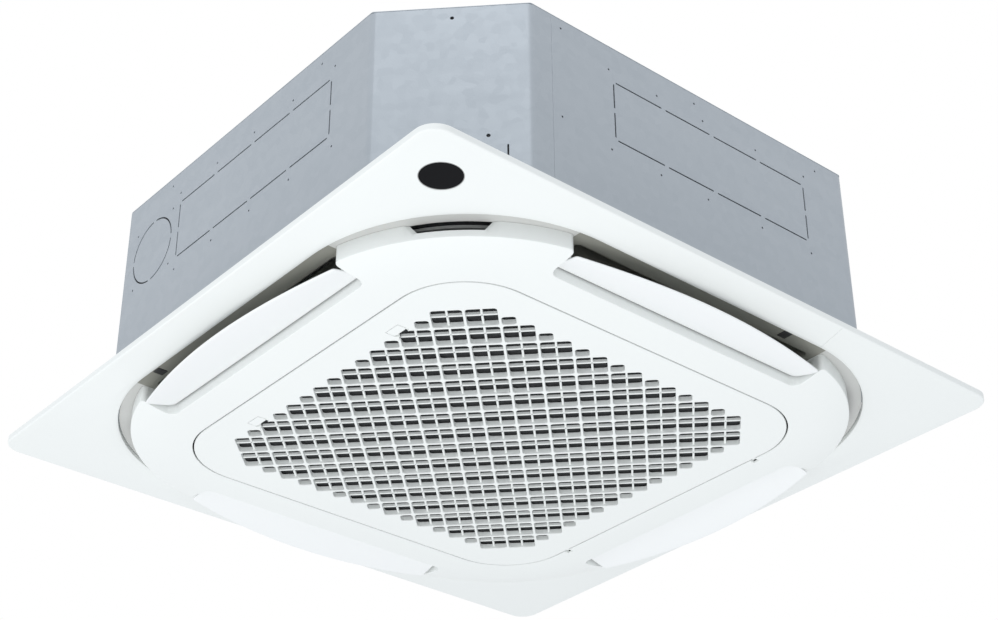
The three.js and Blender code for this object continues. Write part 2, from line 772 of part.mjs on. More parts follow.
function pipes(corner) {
  // Both pipes run from a tube sheet to their flare nuts, in the frame of the pipe corner.
  const startX = (COIL_OUTER - COIL_THICK / 2 + COIL_END + 10) / Math.SQRT2;
  const startY = (COIL_OUTER - COIL_THICK / 2 - COIL_END - 10) / Math.SQRT2;
  const end = cornerFace + PIPE_REACH;
  const nut = 24;
  for (const [name, radius, side] of [["gas", GAS_R, 1], ["liquid", LIQUID_R, -1]]) {
    const pipe = pipeOf(
      radius,
      [
        [startX, side * startY, PIPE_Z],
        [startX + 14, side * (startY - 9), PIPE_Z],
        [startX + 40, side * PIPE_SPREAD, PIPE_Z],
        [cornerFace - 30, side * PIPE_SPREAD, PIPE_Z],
        [end, side * PIPE_SPREAD, PIPE_Z],
      ],
      8,
      11,
    );
    place(name + "_pipe", pipe, "copper", corner);
    const clear = radius + SEAT;
    const shell = cut(
      bar("x", radius * 1.75, end - nut, end + 2, side * PIPE_SPREAD, PIPE_Z, 6),
      bar("x", clear, end - nut - 1, end + SEAT, side * PIPE_SPREAD, PIPE_Z, 16),
    );
    place(name + "_flare_nut", shell, "brass", corner);
  }
  const x0 = cornerFace + SEAT;
  const width = WINDOW_W / 2 + COVER_MARGIN;
  const low = PIPE_Z - WINDOW_H / 2 - COVER_MARGIN;
  const high = PIPE_Z + WINDOW_H / 2 + COVER_MARGIN;
  const hole = (radius, y, z) => bar("x", radius + 1, x0 - 5, x0 + 9, y, z, 12);
  const cover = cut(
    box(x0, x0 + SHEET, -width, width, low, high),
    hole(GAS_R, PIPE_SPREAD, PIPE_Z),
    hole(LIQUID_R, -PIPE_SPREAD, PIPE_Z),
    hole(DRAIN_R, 0, DRAIN_Z),
  );
  place("pipe_cover", cover, "galvanised", corner);
}

function drain(corner) {
  const floor = PAN_TOP - TROUGH_DEPTH;
  const pumpTop = floor + 84;
  const intake = bar("z", 8, floor + 4, floor + 26, PUMP_AT, 0, 12);
  const pump = join(intake, bar("z", PUMP_R, floor + 25, pumpTop, PUMP_AT, 0, 24));
  place("drain_pump", pump, "white", corner);

  // The bracket is an angle from the lining to the top of the pump.
  const wall = cornerFace - SHEET - 2 * SEAT - LINING;
  const plate = 2;
  const bracket = cut(
    join(
      box(PUMP_AT - PUMP_R, wall, -PUMP_R, PUMP_R, pumpTop + SEAT, pumpTop + SEAT + plate),
      box(wall - plate, wall, -PUMP_R, PUMP_R, floor + SEAT + 14, pumpTop + SEAT + plate),
    ),
    bar("z", DRAIN_R + SEAT, pumpTop - 1, pumpTop + 5, PUMP_AT, 0, 20),
  );
  place("pump_bracket", bracket, "galvanised", corner);

  const hose = pipeOf(
    DRAIN_R,
    [
      [PUMP_AT, 0, pumpTop + SEAT],
      [PUMP_AT, 0, pumpTop + 18],
      [PUMP_AT + 14, 0, DRAIN_Z - 8],
      [PUMP_AT + 40, 0, DRAIN_Z],
      [cornerFace + 10, 0, DRAIN_Z],
      [cornerFace + PIPE_REACH - 16, 0, DRAIN_Z],
    ],
    10,
    12,
  );
  place("drain_outlet", hose, "white", corner);

  const stemX = PUMP_AT - 4;
  const stemY = PUMP_R + 8;
  const stem = bar("z", 2, floor + 2, pumpTop, stemX, stemY, 10);
  const guide = join(
    stem,
    bar("z", 5, floor + SEAT, floor + 3, stemX, stemY, 12),
    box(stemX - 6, stemX + 6, PUMP_R + SEAT, stemY + 6, pumpTop - 3, pumpTop),
  );
  place("float_guide", guide, "white", corner);
  const float = cut(
    bar("z", 7, floor + 3 + SEAT, floor + 15, stemX, stemY, 16),
    bar("z", 2 + PIN_PLAY, floor, floor + 30, stemX, stemY, 10),
  );
  place("float_switch", float, "black", corner);
}

// ---------------------------------------------------------------- control box, under the bell mouth

function controlBox() {
  const top = SUCTION_TOP - BELL_WALL - 2 * SEAT;
  const base = top - BOX_HEIGHT;
  const y1 = BOX_Y + BOX_DEPTH;
  const wall = BOX_WALL;
  const tray = cut(
    box(-BOX_HALF, BOX_HALF, BOX_Y, y1, base + wall + SEAT, top),
    box(-BOX_HALF + wall, BOX_HALF - wall, BOX_Y + wall, y1 - wall, base, top - wall),
  );
  place("control_box", tray, "galvanised");
  place("control_cover", box(-BOX_HALF, BOX_HALF, BOX_Y, y1, base, base + wall), "galvanised");
  const boardTop = top - wall - SEAT;
  const inset = 8;
  const chips = [
    [-120, 30, 24],
    [-60, 34, 16],
    [10, 26, 20],
  ].map(([x, size, height]) =>
    box(x, x + size, BOX_Y + 20, BOX_Y + 20 + size, boardTop - 2 - height, boardTop - 1),
  );
  const board = join(
    box(-BOX_HALF + inset, 62, BOX_Y + inset, y1 - inset, boardTop - 2, boardTop),
    chips,
  );
  place("control_board", board, "board");
  const ways = 6;
  const pitch = 13;
  const slots = Array.from({ length: ways }, (_, i) => {
    const x = 80 + i * pitch;
    return box(x, x + pitch - 3, BOX_Y + 26, BOX_Y + 40, boardTop - 21, boardTop - 8);
  });
  const block = cut(
    box(76, 76 + ways * pitch + 2, BOX_Y + 22, y1 - 20, boardTop - 20, boardTop),
    slots,
  );
  place("terminal_block", block, "black");
}

// ---------------------------------------------------------------- panel

function outerFrame() {
  const half = PANEL / 2;
  const r = PANEL_CORNER;
  const mouth = MOUTH / 2;
  const lip = MOUTH_LIP;
  const dip = rimFace - MOUTH_DROP;
  const shell = frameOf([
    squareRing(half, r, 0),
    squareRing(half, r, rimFace + RIM_BEVEL),
    squareRing(half - RIM_BEVEL, r - RIM_BEVEL, rimFace),
    squareRing(mouth + lip, MOUTH_CORNER + lip, dip),
    squareRing(mouth, MOUTH_CORNER, dip + lip),
    squareRing(mouth, MOUTH_CORNER, 0),
    squareRing(mouth + SKIN, MOUTH_CORNER + SKIN, 0),
    squareRing(mouth + SKIN, MOUTH_CORNER + SKIN, dip + SKIN),
    squareRing(half - SKIN, r - SKIN, rimFace + SKIN),
    squareRing(half - SKIN, r - SKIN, 0),
  ]);
  const x = WINDOW_AT;
  const seat = bar("z", WINDOW_R + SEAT, -RIM - 20, 0, x, -x, 24);
  const collar = cut(bar("z", WINDOW_R + SKIN, -RIM, -1, x, -x, 24), seat);
  place("outer_frame", join(cut(shell, seat), collar), "white");

  const windowFace = rimFace - 1.4;
  const lens = join(
    bar("z", WINDOW_R, windowFace, windowFace + WINDOW_THICK, x, -x, 24),
    bar("z", 3, windowFace + 1, -1 - SEAT - 2.6, x, -x, 10),
  );
  place("receiver_window", lens, "black");
  place("receiver_board", bar("z", WINDOW_R - 2, -3, -1, x, -x, 8), "board");
}

// A stepper motor beside the recess at the -Y side, or with grow the room that it needs.
function stepperAt(radius, grow = 0) {
  const x0 = OUTLET_HALF + SKIN + SEAT;
  return bar("x", radius, x0 - grow, x0 + STEPPER_LENGTH + grow, -vaneAxisY, VANE_AXIS_Z, 14);
}

// Outline of a vane's recess in the inner frame, seen from below, at the -Y side.
function recessOutline() {
  const outline = rectangle(-OUTLET_HALF, OUTLET_HALF, -LOBE / 2 - 20, -OUTLET_INNER);
  return filleted(outline, [0, 0, OUTLET_CORNER, OUTLET_CORNER], 4);
}

function innerFrame() {
  const seam = SEAM / 2;
  const lobe = LOBE / 2;
  const edge = rimFace - LOBE_DROP;
  const under = deckBase - SEAT;
  // From the seam the face stays level, then curves up towards the edge.
  const curve = [0, 0.35, 0.6, 0.8, 1].map((t) => ({
    half: seam + (lobe - seam) * t,
    radius: SEAM_CORNER + (LOBE_CORNER - SEAM_CORNER) * t,
    z: face + (edge - face) * t ** 3,
  }));
  const inside = [curve[4], curve[3], curve[2]].map(({ half, radius, z }) =>
    squareRing(half - SKIN, radius - SKIN, z + SKIN),
  );
  const shell = frameOf([
    ...curve.map(({ half, radius, z }) => squareRing(half, radius, z)),
    squareRing(lobe, LOBE_CORNER, edge + 4),
    squareRing(lobe - 4, LOBE_CORNER - 4, edge + 8),
    squareRing(lobe - 4, LOBE_CORNER - 4, under),
    squareRing(lobe - 4 - SKIN, LOBE_CORNER - 4 - SKIN, under),
    ...inside,
    squareRing(seam + SKIN, SEAM_CORNER + SKIN, face + SKIN),
  ]);
  const recess = prism(recessOutline(), face - 5, 0);
  // The recess's walls stand on the back of the shell, along its curve.
  const wallEnd = -lobe + 9;
  const footing = curve
    .map(({ half, z }) => [-half, z + 1])
    .filter(([y]) => y > wallEnd && y < -OUTLET_INNER + SKIN);
  const wallSection = [
    [-OUTLET_INNER + SKIN, under],
    [wallEnd, under],
    [wallEnd, edge],
    ...footing.reverse(),
    [-OUTLET_INNER + SKIN, face + 2],
  ];
  const wall = alongX(wallSection, -OUTLET_HALF - SKIN, OUTLET_HALF + SKIN);
  const bearing = bar(
    "x",
    VANE_PIN_R + PIN_PLAY,
    -OUTLET_HALF - 2 * SKIN,
    OUTLET_HALF + 2 * SKIN,
    -vaneAxisY,
    VANE_AXIS_Z,
    12,
  );
  const blank = cut(join(shell, fourTimes(wall)), fourTimes(recess));
  const pocket = stepperAt(STEPPER_R + 0.5, SEAT);
  const holed = cut(blank, fourTimes(bearing), fourTimes(pocket), hingeNotches());
  place("inner_frame", join(holed, hingeEars()), "white");
}

// Beside each arm of the grille, two ears on the back of the inner frame hold the hinge pin.
function hingeEars() {
  const bore = HINGE_PIN_R + PIN_PLAY / 2;
  return [-1, 1].flatMap((side) =>
    [-1, 1].map((end) => {
      const middle = side * HINGE_X + (end * (HINGE_ARM_W + HINGE_EAR_W + 1)) / 2;
      const x0 = middle - HINGE_EAR_W / 2;
      const x1 = middle + HINGE_EAR_W / 2;
      const foot = box(x0, x1, hingeY - KNUCKLE_R, hingeY + KNUCKLE_R, face + SKIN - 1, hingeZ);
      const ear = join(foot, bar("x", KNUCKLE_R, x0, x1, hingeY, hingeZ, 8));
      return cut(ear, bar("x", bore, x0 - 1, x1 + 1, hingeY, hingeZ, 8));
    }),
  );
}

// The arm swings down through a notch in the seam's edge.
function hingeNotches() {
  const half = HINGE_ARM_W / 2 + 0.6;
  const depth = hingeY + KNUCKLE_R + 0.5;
  return [-1, 1].map((side) => {
    const x = side * HINGE_X;
    return box(x - half, x + half, SEAM / 2 - 3, depth, face - 1, face + SKIN + 1);
  });
}

// The deck bridges the two frames above the channel; slots in its corners feed the corner outlets.
function deck() {
  const outer = MOUTH / 2 - 4 * SEAT;
  const plate = frameOf([
    squareRing(outer, MOUTH_CORNER - 4 * SEAT, deckBase, 6),
    squareRing(outer, MOUTH_CORNER - 4 * SEAT, deckTop, 6),
    squareRing(DECK_INNER, SEAM_CORNER, deckTop, 6),
    squareRing(DECK_INNER, SEAM_CORNER, deckBase, 6),
  ]);
  place("panel_deck", cut(plate, openings(deckBase - 1, deckTop + 1)), "grey");
  const sealOuter = filleted(square(outer), MOUTH_CORNER, 5);
  const sealInner = filleted(square(DECK_INNER), SEAM_CORNER, 3);
  const seal = prism(sealOuter, 0, BODY_BASE, [sealInner]);
  const octagonal = prism(bodyPlan(SHEET + SEAT), -1, BODY_BASE + 1);
  place("panel_seal", cut(seal.intersect(octagonal), openings(-1, BODY_BASE + 1)), "foam");
}

// The four duct throats and the four curved corner slots, as tools that cut from z0 to z1.
function openings(z0, z1) {
  const inner = OUTLET_INNER + SEAT;
  const throat = rectangle(-THROAT_HALF, THROAT_HALF, -THROAT_OUTER, -inner);
  const side = prism(filleted(throat, 10, 1), z0, z1);
  const middle = MOUTH / 2 - MOUTH_CORNER;
  const outer = MOUTH_CORNER - 8;
  const steps = 4;
  const angles = Array.from(
    { length: steps + 1 },
    (_, i) => -QUARTER / 2 + CORNER_SLOT * DEGREE * ((2 * i) / steps - 1),
  );
  const at = (radius) => (a) => [middle + radius * Math.cos(a), -middle + radius * Math.sin(a)];
  const arc = [...angles.map(at(outer)), ...angles.reverse().map(at(outer - CORNER_SLOT_W))];
  return [...fourTimes(side), ...fourTimes(prism(arc, z0, z1))];
}

// ---------------------------------------------------------------- vanes

// A vane lies closed across its recess, following the frame's curve; its group turns it open.
function vane() {
  const half = OUTLET_HALF - VANE_END_GAP;
  const innerY = -OUTLET_INNER - VANE_INNER_GAP;
  const outerY = innerY - VANE_CHORD;
  const steps = 8;
  const bow = Array.from({ length: steps + 1 }, (_, i) => {
    const t = (2 * i) / steps - 1;
    return [t * half, outerY + VANE_BOW * t * t];
  });
  const bends = [0, 3, VANE_CORNER, VANE_CORNER, 3];
  const corners = [bow[0], bow[steps], [half, innerY], [-half, innerY]];
  const rounded = filleted([[0, outerY], ...corners.slice(1), corners[0]], bends, 3);
  const plan = [...bow.slice(1, -1), ...rounded.slice(1)];
  const rise = VANE_CHORD * Math.tan(VANE_SLOPE * DEGREE);
  const innerZ = face + VANE_SUNK;
  const sections = 4;
  const blade = Array.from({ length: sections + 1 }, (_, i) => {
    const t = i / sections;
    return [innerY - VANE_CHORD * t, innerZ + rise * t - VANE_CAMBER * 4 * t * (1 - t) * 0.5];
  });
  const section = [...blade, ...blade.map(([y, z]) => [y, z + VANE_THICK]).reverse()];
  const swept = alongX(section, -half - 1, half + 1);
  const trimmed = swept.intersect(prism(plan, face - 20, 0));
  const pins = [-1, 1].flatMap((side) => {
    const inner = side * (half - 4);
    const outer = side * (OUTLET_HALF + SKIN - 0.5);
    const edge = side * half;
    const arm = box(
      Math.min(inner, edge),
      Math.max(inner, edge),
      -vaneAxisY - VANE_PIN_R,
      -vaneAxisY + VANE_PIN_R,
      innerZ + 5,
      VANE_AXIS_Z,
    );
    const pin = bar(
      "x",
      VANE_PIN_R,
      Math.min(inner, outer),
      Math.max(inner, outer),
      -vaneAxisY,
      VANE_AXIS_Z,
      10,
    );
    return [arm, pin];
  });
  return join(trimmed, pins);
}

function vanes() {
  const part = vane();
  SIDES.forEach((side, k) => {
    const turn = new THREE.Group();
    turn.rotation.z = k * QUARTER;
    const pivot = new THREE.Group();
    pivot.position.set(0, -vaneAxisY, VANE_AXIS_Z);
    pivot.rotation.x = VANE_OPEN * DEGREE;
    const blade = new THREE.Group();
    blade.position.set(0, vaneAxisY, -VANE_AXIS_Z);
    place("vane_" + side, part, "white", blade);
    turn.add(pivot.add(blade));

    // The stepper motor sits behind the recess's end wall and turns the vane's pin.
    place("stepper_" + side, stepperAt(STEPPER_R), "steel", turn);
    model.add(turn);
  });
}

// ---------------------------------------------------------------- intake grille

// Plan of one opening: a square in the lattice's own frame, turned 45 degrees onto the panel.
function cell(u0, u1, v0, v1) {
  const turn = ([u, v]) => [(u - v) / Math.SQRT2, (u + v) / Math.SQRT2];
  return rectangle(u0, u1, v0, v1).map(turn);
}

// The field is a diamond of full openings in the lattice's frame, with a quarter opening in each notch.
function latticeOpenings() {
  const cells = [];
  for (let i = -ROWS; i < ROWS; i++) {
    for (let j = -ROWS; j < ROWS; j++) {
      const reach = Math.abs(i + 0.5) + Math.abs(j + 0.5);
      if (reach > ROWS + 1) continue;
      const u0 = i * PITCH + RIB / 2;
      const v0 = j * PITCH + RIB / 2;
      const size = PITCH - RIB;
      if (reach <= ROWS) {
        cells.push(cell(u0, u0 + size, v0, v0 + size));
        continue;
      }
      const half = (size - RIB) / 2;
      const u = i < 0 ? u0 + size - half : u0;
      const v = j < 0 ? v0 + size - half : v0;
      cells.push(cell(u, u + half, v, v + half));
    }
  }
  return cells;
}

function grille(hinged) {
  const half = grilleHalf;
  const corner = SEAM_CORNER - GRILLE_CORNER_CUT;
  const fieldHalf = ((ROWS + 1) * PITCH) / Math.SQRT2 + 2;
  const holes = latticeOpenings().map((outline) => prism(outline, face - 1, latticeTop + 1));
  const skirtHalf = half - 14;
  const plate = prism(filleted(square(half), corner, 10), face, face + GRILLE_SKIN);
  const deep = prism(filleted(square(fieldHalf), 12, 2), face + GRILLE_SKIN / 2, latticeTop);
  const skirt = prism(
    filleted(square(skirtHalf), corner - 14, 3),
    face + GRILLE_SKIN / 2,
    latticeTop,
    [filleted(square(skirtHalf - 2), corner - 16, 3)],
  );
  // Two arms reach back over the seam to the hinge pins.
  const arms = [-1, 1].map((side) => {
    const x0 = side * HINGE_X - HINGE_ARM_W / 2;
    const x1 = x0 + HINGE_ARM_W;
    const top = hingeZ + KNUCKLE_R - 1;
    const arm = join(
      box(x0, x1, half - 10, half - 3, face + 1, top),
      box(x0, x1, half - 9, hingeY, hingeZ - KNUCKLE_R, top),
      bar("x", KNUCKLE_R, x0, x1, hingeY, hingeZ, 8),
    );
    const bore = HINGE_PIN_R + PIN_PLAY / 2;
    return cut(arm, bar("x", bore, x0 - 1, x1 + 1, hingeY, hingeZ, 8));
  });
  const rooms = [-1, 1].flatMap((k) => latchRoom(k * LATCH_X));
  const lattice = cut(join(cut(join(plate, deep), holes), skirt), rooms);
  const straps = [-1, 1].map((k) => latchStrap(k * LATCH_X));
  place("intake_grille", join(lattice, straps, arms), "white", hinged);
}

function hingePins() {
  const reach = HINGE_ARM_W / 2 + HINGE_EAR_W + 1.5;
  [-1, 1].forEach((side) => {
    const x = side * HINGE_X;
    const name = side < 0 ? "hinge_pin_left" : "hinge_pin_right";
    place(name, bar("x", HINGE_PIN_R, x - reach, x + reach, hingeY, hingeZ, 8), "steel");
  });
}

function filter(hinged) {
  const base = filterBase;
  const top = base + FILTER_THICK;
  const half = FILTER_HALF;
  const corner = 60;
  const inside = filleted(square(half - FILTER_RIB), corner - FILTER_RIB, 4);
  const rim = prism(filleted(square(half), corner, 4), base, top, [inside]);
  const netHalf = half - FILTER_RIB / 2;
  const net = prism(filleted(square(netHalf), corner, 4), base + 1, base + 1 + FILTER_NET);
  const reach = netHalf - 0.5;
  const w = FILTER_RIB / 2;
  const long = box(-w, w, -reach, reach, base + 1.4, top - 0.5);
  const across = box(-reach, reach, -w - 1, w + 1, base + 1.4, top - 1);
  place("air_filter", join(rim, net, long, across), "black", hinged);
}

// Each latch is a slider behind the grille's front border, with a thumb tab flush with its face.
function latches(hinged) {
  const base = face + GRILLE_SKIN + SEAT;
  const noseY = -grilleHalf + 0.5;
  const tabEnd = LATCH_TAB_Y + LATCH_TAB;
  [-1, 1].forEach((side) => {
    const x = side * LATCH_X;
    const w = LATCH_W / 2;
    const slider = box(x - w, x + w, noseY, LATCH_TAB_Y + 2, base, base + LATCH_THICK);
    const plan = rectangle(x - w, x + w, LATCH_TAB_Y, tabEnd);
    const tab = prism(filleted(plan, [0, 0, 4, 4], 3), face, base + LATCH_THICK);
    const name = side < 0 ? "grille_latch_left" : "grille_latch_right";
    place(name, join(slider, tab), "white", hinged);
  });
}

// The room a latch needs in the grille: a window round its tab, and a shallow groove to the edge.
function latchRoom(x) {
  const w = LATCH_W / 2 + 0.5;
  const tabEnd = LATCH_TAB_Y + LATCH_TAB;
  return [
    box(x - w, x + w, LATCH_TAB_Y - 0.5, tabEnd + LATCH_TRAVEL + 0.5, face - 1, 0),
    box(x - w, x + w, -grilleHalf - 1, LATCH_TAB_Y, face + GRILLE_SKIN - SEAT, 0),
  ];
}

// A strap over each slider keeps it on the grille.
function latchStrap(x) {
  const w = LATCH_W / 2 + 0.5;
  const y = LATCH_TAB_Y - 10;
  const over = face + GRILLE_SKIN + 2 * SEAT + LATCH_THICK;
  return join(
    box(x - w - 3, x + w + 3, y - 3, y + 3, over, over + 2),
    box(x - w - 3, x - w, y - 3, y + 3, face + 1, over + 2),
    box(x + w, x + w + 3, y - 3, y + 3, face + 1, over + 2),
  );
}

// ---------------------------------------------------------------- assembly

body();
hangers();
fanAndMotor();
bellMouth();
heatExchanger();
drainPan();
const pipeSide = atPipeCorner();
pipes(pipeSide);
drain(pipeSide);
controlBox();
outerFrame();
innerFrame();
deck();
vanes();
hingePins();
const hinged = new THREE.Group();
grille(hinged);
filter(hinged);
latches(hinged);
model.add(hinged);

export default model;
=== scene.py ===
import math

import bmesh
import bpy
from mathutils import Matrix, Vector
from mathutils.geometry import delaunay_2d_cdt


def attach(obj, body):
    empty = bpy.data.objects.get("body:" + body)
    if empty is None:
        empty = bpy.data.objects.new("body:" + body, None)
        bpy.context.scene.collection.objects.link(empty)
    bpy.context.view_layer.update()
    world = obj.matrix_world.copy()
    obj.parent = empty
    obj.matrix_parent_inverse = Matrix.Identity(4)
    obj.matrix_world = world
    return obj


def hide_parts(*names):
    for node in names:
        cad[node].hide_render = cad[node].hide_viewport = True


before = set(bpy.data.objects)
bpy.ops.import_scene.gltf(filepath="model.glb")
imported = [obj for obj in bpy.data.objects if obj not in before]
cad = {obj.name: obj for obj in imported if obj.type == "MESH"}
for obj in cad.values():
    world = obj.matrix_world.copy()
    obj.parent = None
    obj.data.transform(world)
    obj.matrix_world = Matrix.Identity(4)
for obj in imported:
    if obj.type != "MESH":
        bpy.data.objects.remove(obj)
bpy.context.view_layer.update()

# ---------------------------------------------------------------- housing sheets
# Four galvanised sheets, cut and punched flat, folded at the corners and riveted to each other.
# The rows of slits are duct knockouts; small round holes were punched for the screws of a duct.

MM = 0.001
QUARTER = math.pi / 2
SHEET = 1.2
FOLD_R = 14
HOUSING = 417.5  # half the width across the flats
CORNER_CUT = 137
HOUSING_BASE = 6
HOUSING_TOP = 301.5
WRAP = 33  # the front sheet wraps this far onto the next side
DUCT_SIZE = (345, 89)
DUCT_Z = 204
DUCT_SHIFT = 27
FRESH_AIR_R = 47.5
FRESH_AIR_AT = -211
SLIT = 2.2
SLIT_REST = 7
HOLE_R = 1.6
FLAT = HOUSING - CORNER_CUT


def rounded(points, radii, steps=6):
    """An outline with its corners turned into arcs; radii is one radius, or one for each corner."""
    if not isinstance(radii, (list, tuple)):
        radii = [radii] * len(points)
    out = []
    for i, (point, radius) in enumerate(zip(points, radii)):
        corner = Vector(point)
        if not radius:
            out.append(corner)
            continue
        before = (Vector(points[i - 1]) - corner).normalized()
        after = (Vector(points[(i + 1) % len(points)]) - corner).normalized()
        half = before.angle(after) / 2
        centre = corner + (before + after).normalized() * radius / math.sin(half)
        start = corner + before * radius / math.tan(half) - centre
        end = corner + after * radius / math.tan(half) - centre
        sweep = math.atan2(start.x * end.y - start.y * end.x, start.dot(end))
        out += [centre + Matrix.Rotation(sweep * k / steps, 2) @ start for k in range(steps + 1)]
    return out


def rectangle(a0, a1, b0, b1):
    return [(a0, b0), (a1, b0), (a1, b1), (a0, b1)]


def full_turn(sides):
    return [2 * math.pi * k / sides for k in range(sides)]


def circle(a, b, radius, sides=24):
    return [(a + radius * math.cos(t), b + radius * math.sin(t)) for t in full_turn(sides)]


def shifted(loop, inset):
    """A counter-clockwise loop moved to its left by inset."""
    out = []
    for i, here in enumerate(loop):
        back = (here - loop[i - 1]).normalized()
        on = (loop[(i + 1) % len(loop)] - here).normalized()
        left = Vector((-back.y - on.y, back.x + on.x))
        out.append(here + left * inset / max(1 + back.dot(on), 0.3))
    return out


def soft_edge(ease, depth):
    """The edge profile of a sheet whose front corner is eased."""
    return [(ease, 0), (0, ease), (0, depth)]


def plain_edge(depth):
    """The edge profile of a sheet cut straight through."""
    return [(0, 0), (0, depth)]


def area(loop):
    return sum(loop[i - 1].x * p.y - p.x * loop[i - 1].y for i, p in enumerate(loop)) / 2


def formed(outline, place, edge, holes=(), hole_edge=None, lines=()):
    """A closed sheet. edge lists (inset, depth) from the front face to the back; place seats a point."""
    points, edges, faces, loops = [], [], [], []
    for k, given in enumerate([outline, *holes]):
        loop = [Vector(p) for p in given]
        if area(loop) < 0:
            loop.reverse()
        faces.append(list(range(len(points), len(points) + len(loop))))
        loops.append((loop, 1 if k == 0 else -1, edge if k == 0 else hole_edge or edge))
        points += loop
    for line in lines:
        edges += [(len(points) + i, len(points) + i + 1) for i in range(len(line) - 1)]
        points += [Vector(p) for p in line]
    flat, _, triangles, origin, _, within = delaunay_2d_cdt(points, edges, faces, 1, 1e-5)
    home = {i: out for out, given in enumerate(origin) for i in given}
    made = bmesh.new()
    front = {}
    back = {}
    for face, (loop, side, profile) in zip(faces, loops):
        rings = []
        for inset, depth in profile:
            ring = shifted(loop, side * inset)
            rings.append([made.verts.new(place(p.x, p.y, depth) * MM) for p in ring])
        for k, i in enumerate(face):
            front[home[i]] = rings[0][k]
            back[home[i]] = rings[-1][k]
        for low, high in zip(rings, rings[1:]):
            for k in range(len(low)):
                made.faces.new((low[k - 1], low[k], high[k], high[k - 1]))
    for i, p in enumerate(flat):
        if i not in front:
            front[i] = made.verts.new(place(p.x, p.y, edge[0][1]) * MM)
            back[i] = made.verts.new(place(p.x, p.y, edge[-1][1]) * MM)
    for triangle, inside in zip(triangles, within):
        if inside and not any(f > 0 for f in inside):
            made.faces.new([front[i] for i in triangle])
            made.faces.new([back[i] for i in reversed(triangle)])
    loose = [v for v in made.verts if not v.link_faces]
    bmesh.ops.delete(made, geom=loose, context="VERTS")
    bmesh.ops.recalc_face_normals(made, faces=made.faces)
    return made


def piece(name, shape, material, body="unit", stands_for=(), sharp=35):
    """Puts a shape into the scene as one piece, smooth but for its sharp edges."""
    mesh = bpy.data.meshes.new(name)
    shape.to_mesh(mesh)
    shape.free()
    mesh.materials.append(material)
    mesh.shade_smooth()
    mesh.set_sharp_from_angle(angle=math.radians(sharp))
    made = bpy.data.objects.new(name, mesh)
    bpy.context.scene.collection.objects.link(made)
    made.modifiers.new("even_normals", "WEIGHTED_NORMAL").keep_sharp = True
    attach(made, body)
    if stands_for:
        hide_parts(*stands_for)
    return made


def turned_about_z(shape, angle):
    bmesh.ops.rotate(shape, verts=shape.verts, cent=(0, 0, 0), matrix=Matrix.Rotation(angle, 3, "Z"))
    return shape


def fold(path, radius, steps=6):
    """Stations (run, point, way in) along an open path; the sheet's thickness lies to the left."""
    points = rounded(path, [0] + [radius] * (len(path) - 2) + [0], steps)
    stations = []
    run = 0
    for i, here in enumerate(points):
        on = (points[i + 1] - here).normalized() if i + 1 < len(points) else None
        back = (here - points[i - 1]).normalized() if i else None
        on = on or back
        back = back or on
        run += (here - points[i - 1]).length if i else 0
        left = Vector((-back.y - on.y, back.x + on.x)) / (1 + back.dot(on))
        stations.append((run, here, left))
    return stations


def crossed(outline, runs):
    """The outline with a point wherever one of its edges crosses a fold."""
    out = []
    for i, end in enumerate(outline):
        start, end = Vector(outline[i - 1]), Vector(end)
        way = end - start
        if abs(way.x) > 1e-6:
            shares = sorted((run - start.x) / way.x for run in runs)
            out += [start + way * t for t in shares if 1e-4 < t < 1 - 1e-4]
        out.append(end)
    return out


def folded_place(stations, seat):
    """Wraps a flat blank round the folds: its first axis runs along them, its second across."""

    def place(a, b, depth):
        for (r0, p0, n0), (r1, p1, n1) in zip(stations, stations[1:]):
            if a <= r1 or r1 == stations[-1][0]:
                t = (a - r0) / (r1 - r0)
                point = p0.lerp(p1, t) + n0.lerp(n1, t) * depth
                return seat(point, b)

    return place


def run_to(stations, x, y):
    """How far along the folds the point nearest to x, y lies."""
    best = None
    target = Vector((x, y))
    for (r0, p0, _), (r1, p1, _) in zip(stations, stations[1:]):
        way = p1 - p0
        t = min(max((target - p0).dot(way) / way.length_squared, 0), 1)
        gap = (p0.lerp(p1, t) - target).length
        if best is None or gap < best[0]:
            best = (gap, r0 + (r1 - r0) * t)
    return best[1]


def slit(a0, b0, a1, b1):
    """A punched slit from one end to the other, with rounded ends."""
    half = SLIT / 2
    if a0 == a1:
        return rounded(rectangle(a0 - half, a0 + half, b0, b1), half * 0.95, 3)
    return rounded(rectangle(a0, a1, b0 - half, b0 + half), half * 0.95, 3)


def duct_knockout(middle):
    """Slits round a rectangle: four on each long side and two on each end."""
    width, height = DUCT_SIZE

    def runs(start, end, count):
        step = (end - start) / count
        return [
            (start + i * step + SLIT_REST / 2, start + (i + 1) * step - SLIT_REST / 2)
            for i in range(count)
        ]

    left, right = middle - width / 2, middle + width / 2
    low, high = DUCT_Z - height / 2, DUCT_Z + height / 2
    long_sides = [slit(a, b, c, b) for b in (low, high) for a, c in runs(left, right, 4)]
    ends = [slit(a, b, a, c) for a in (left, right) for b, c in runs(low, high, 2)]
    return long_sides + ends


def fresh_air_knockout(middle):
    """Four arcs round the place of a fresh-air spigot."""
    rest = SLIT_REST / FRESH_AIR_R / 2
    out = []
    for k in range(4):
        turns = [k * QUARTER + rest + (QUARTER - 2 * rest) * i / 12 for i in range(13)]
        ring = [(FRESH_AIR_R + SLIT / 2, t) for t in turns]
        ring += [(FRESH_AIR_R - SLIT / 2, t) for t in reversed(turns)]
        out.append([(middle + r * math.cos(t), DUCT_Z + r * math.sin(t)) for r, t in ring])
    return out


# Every finish takes its colour, roughness and relief from a pattern: a shader group that works in the
# piece's own space.
FLOAT = "NodeSocketFloat"
COLOR = "NodeSocketColor"


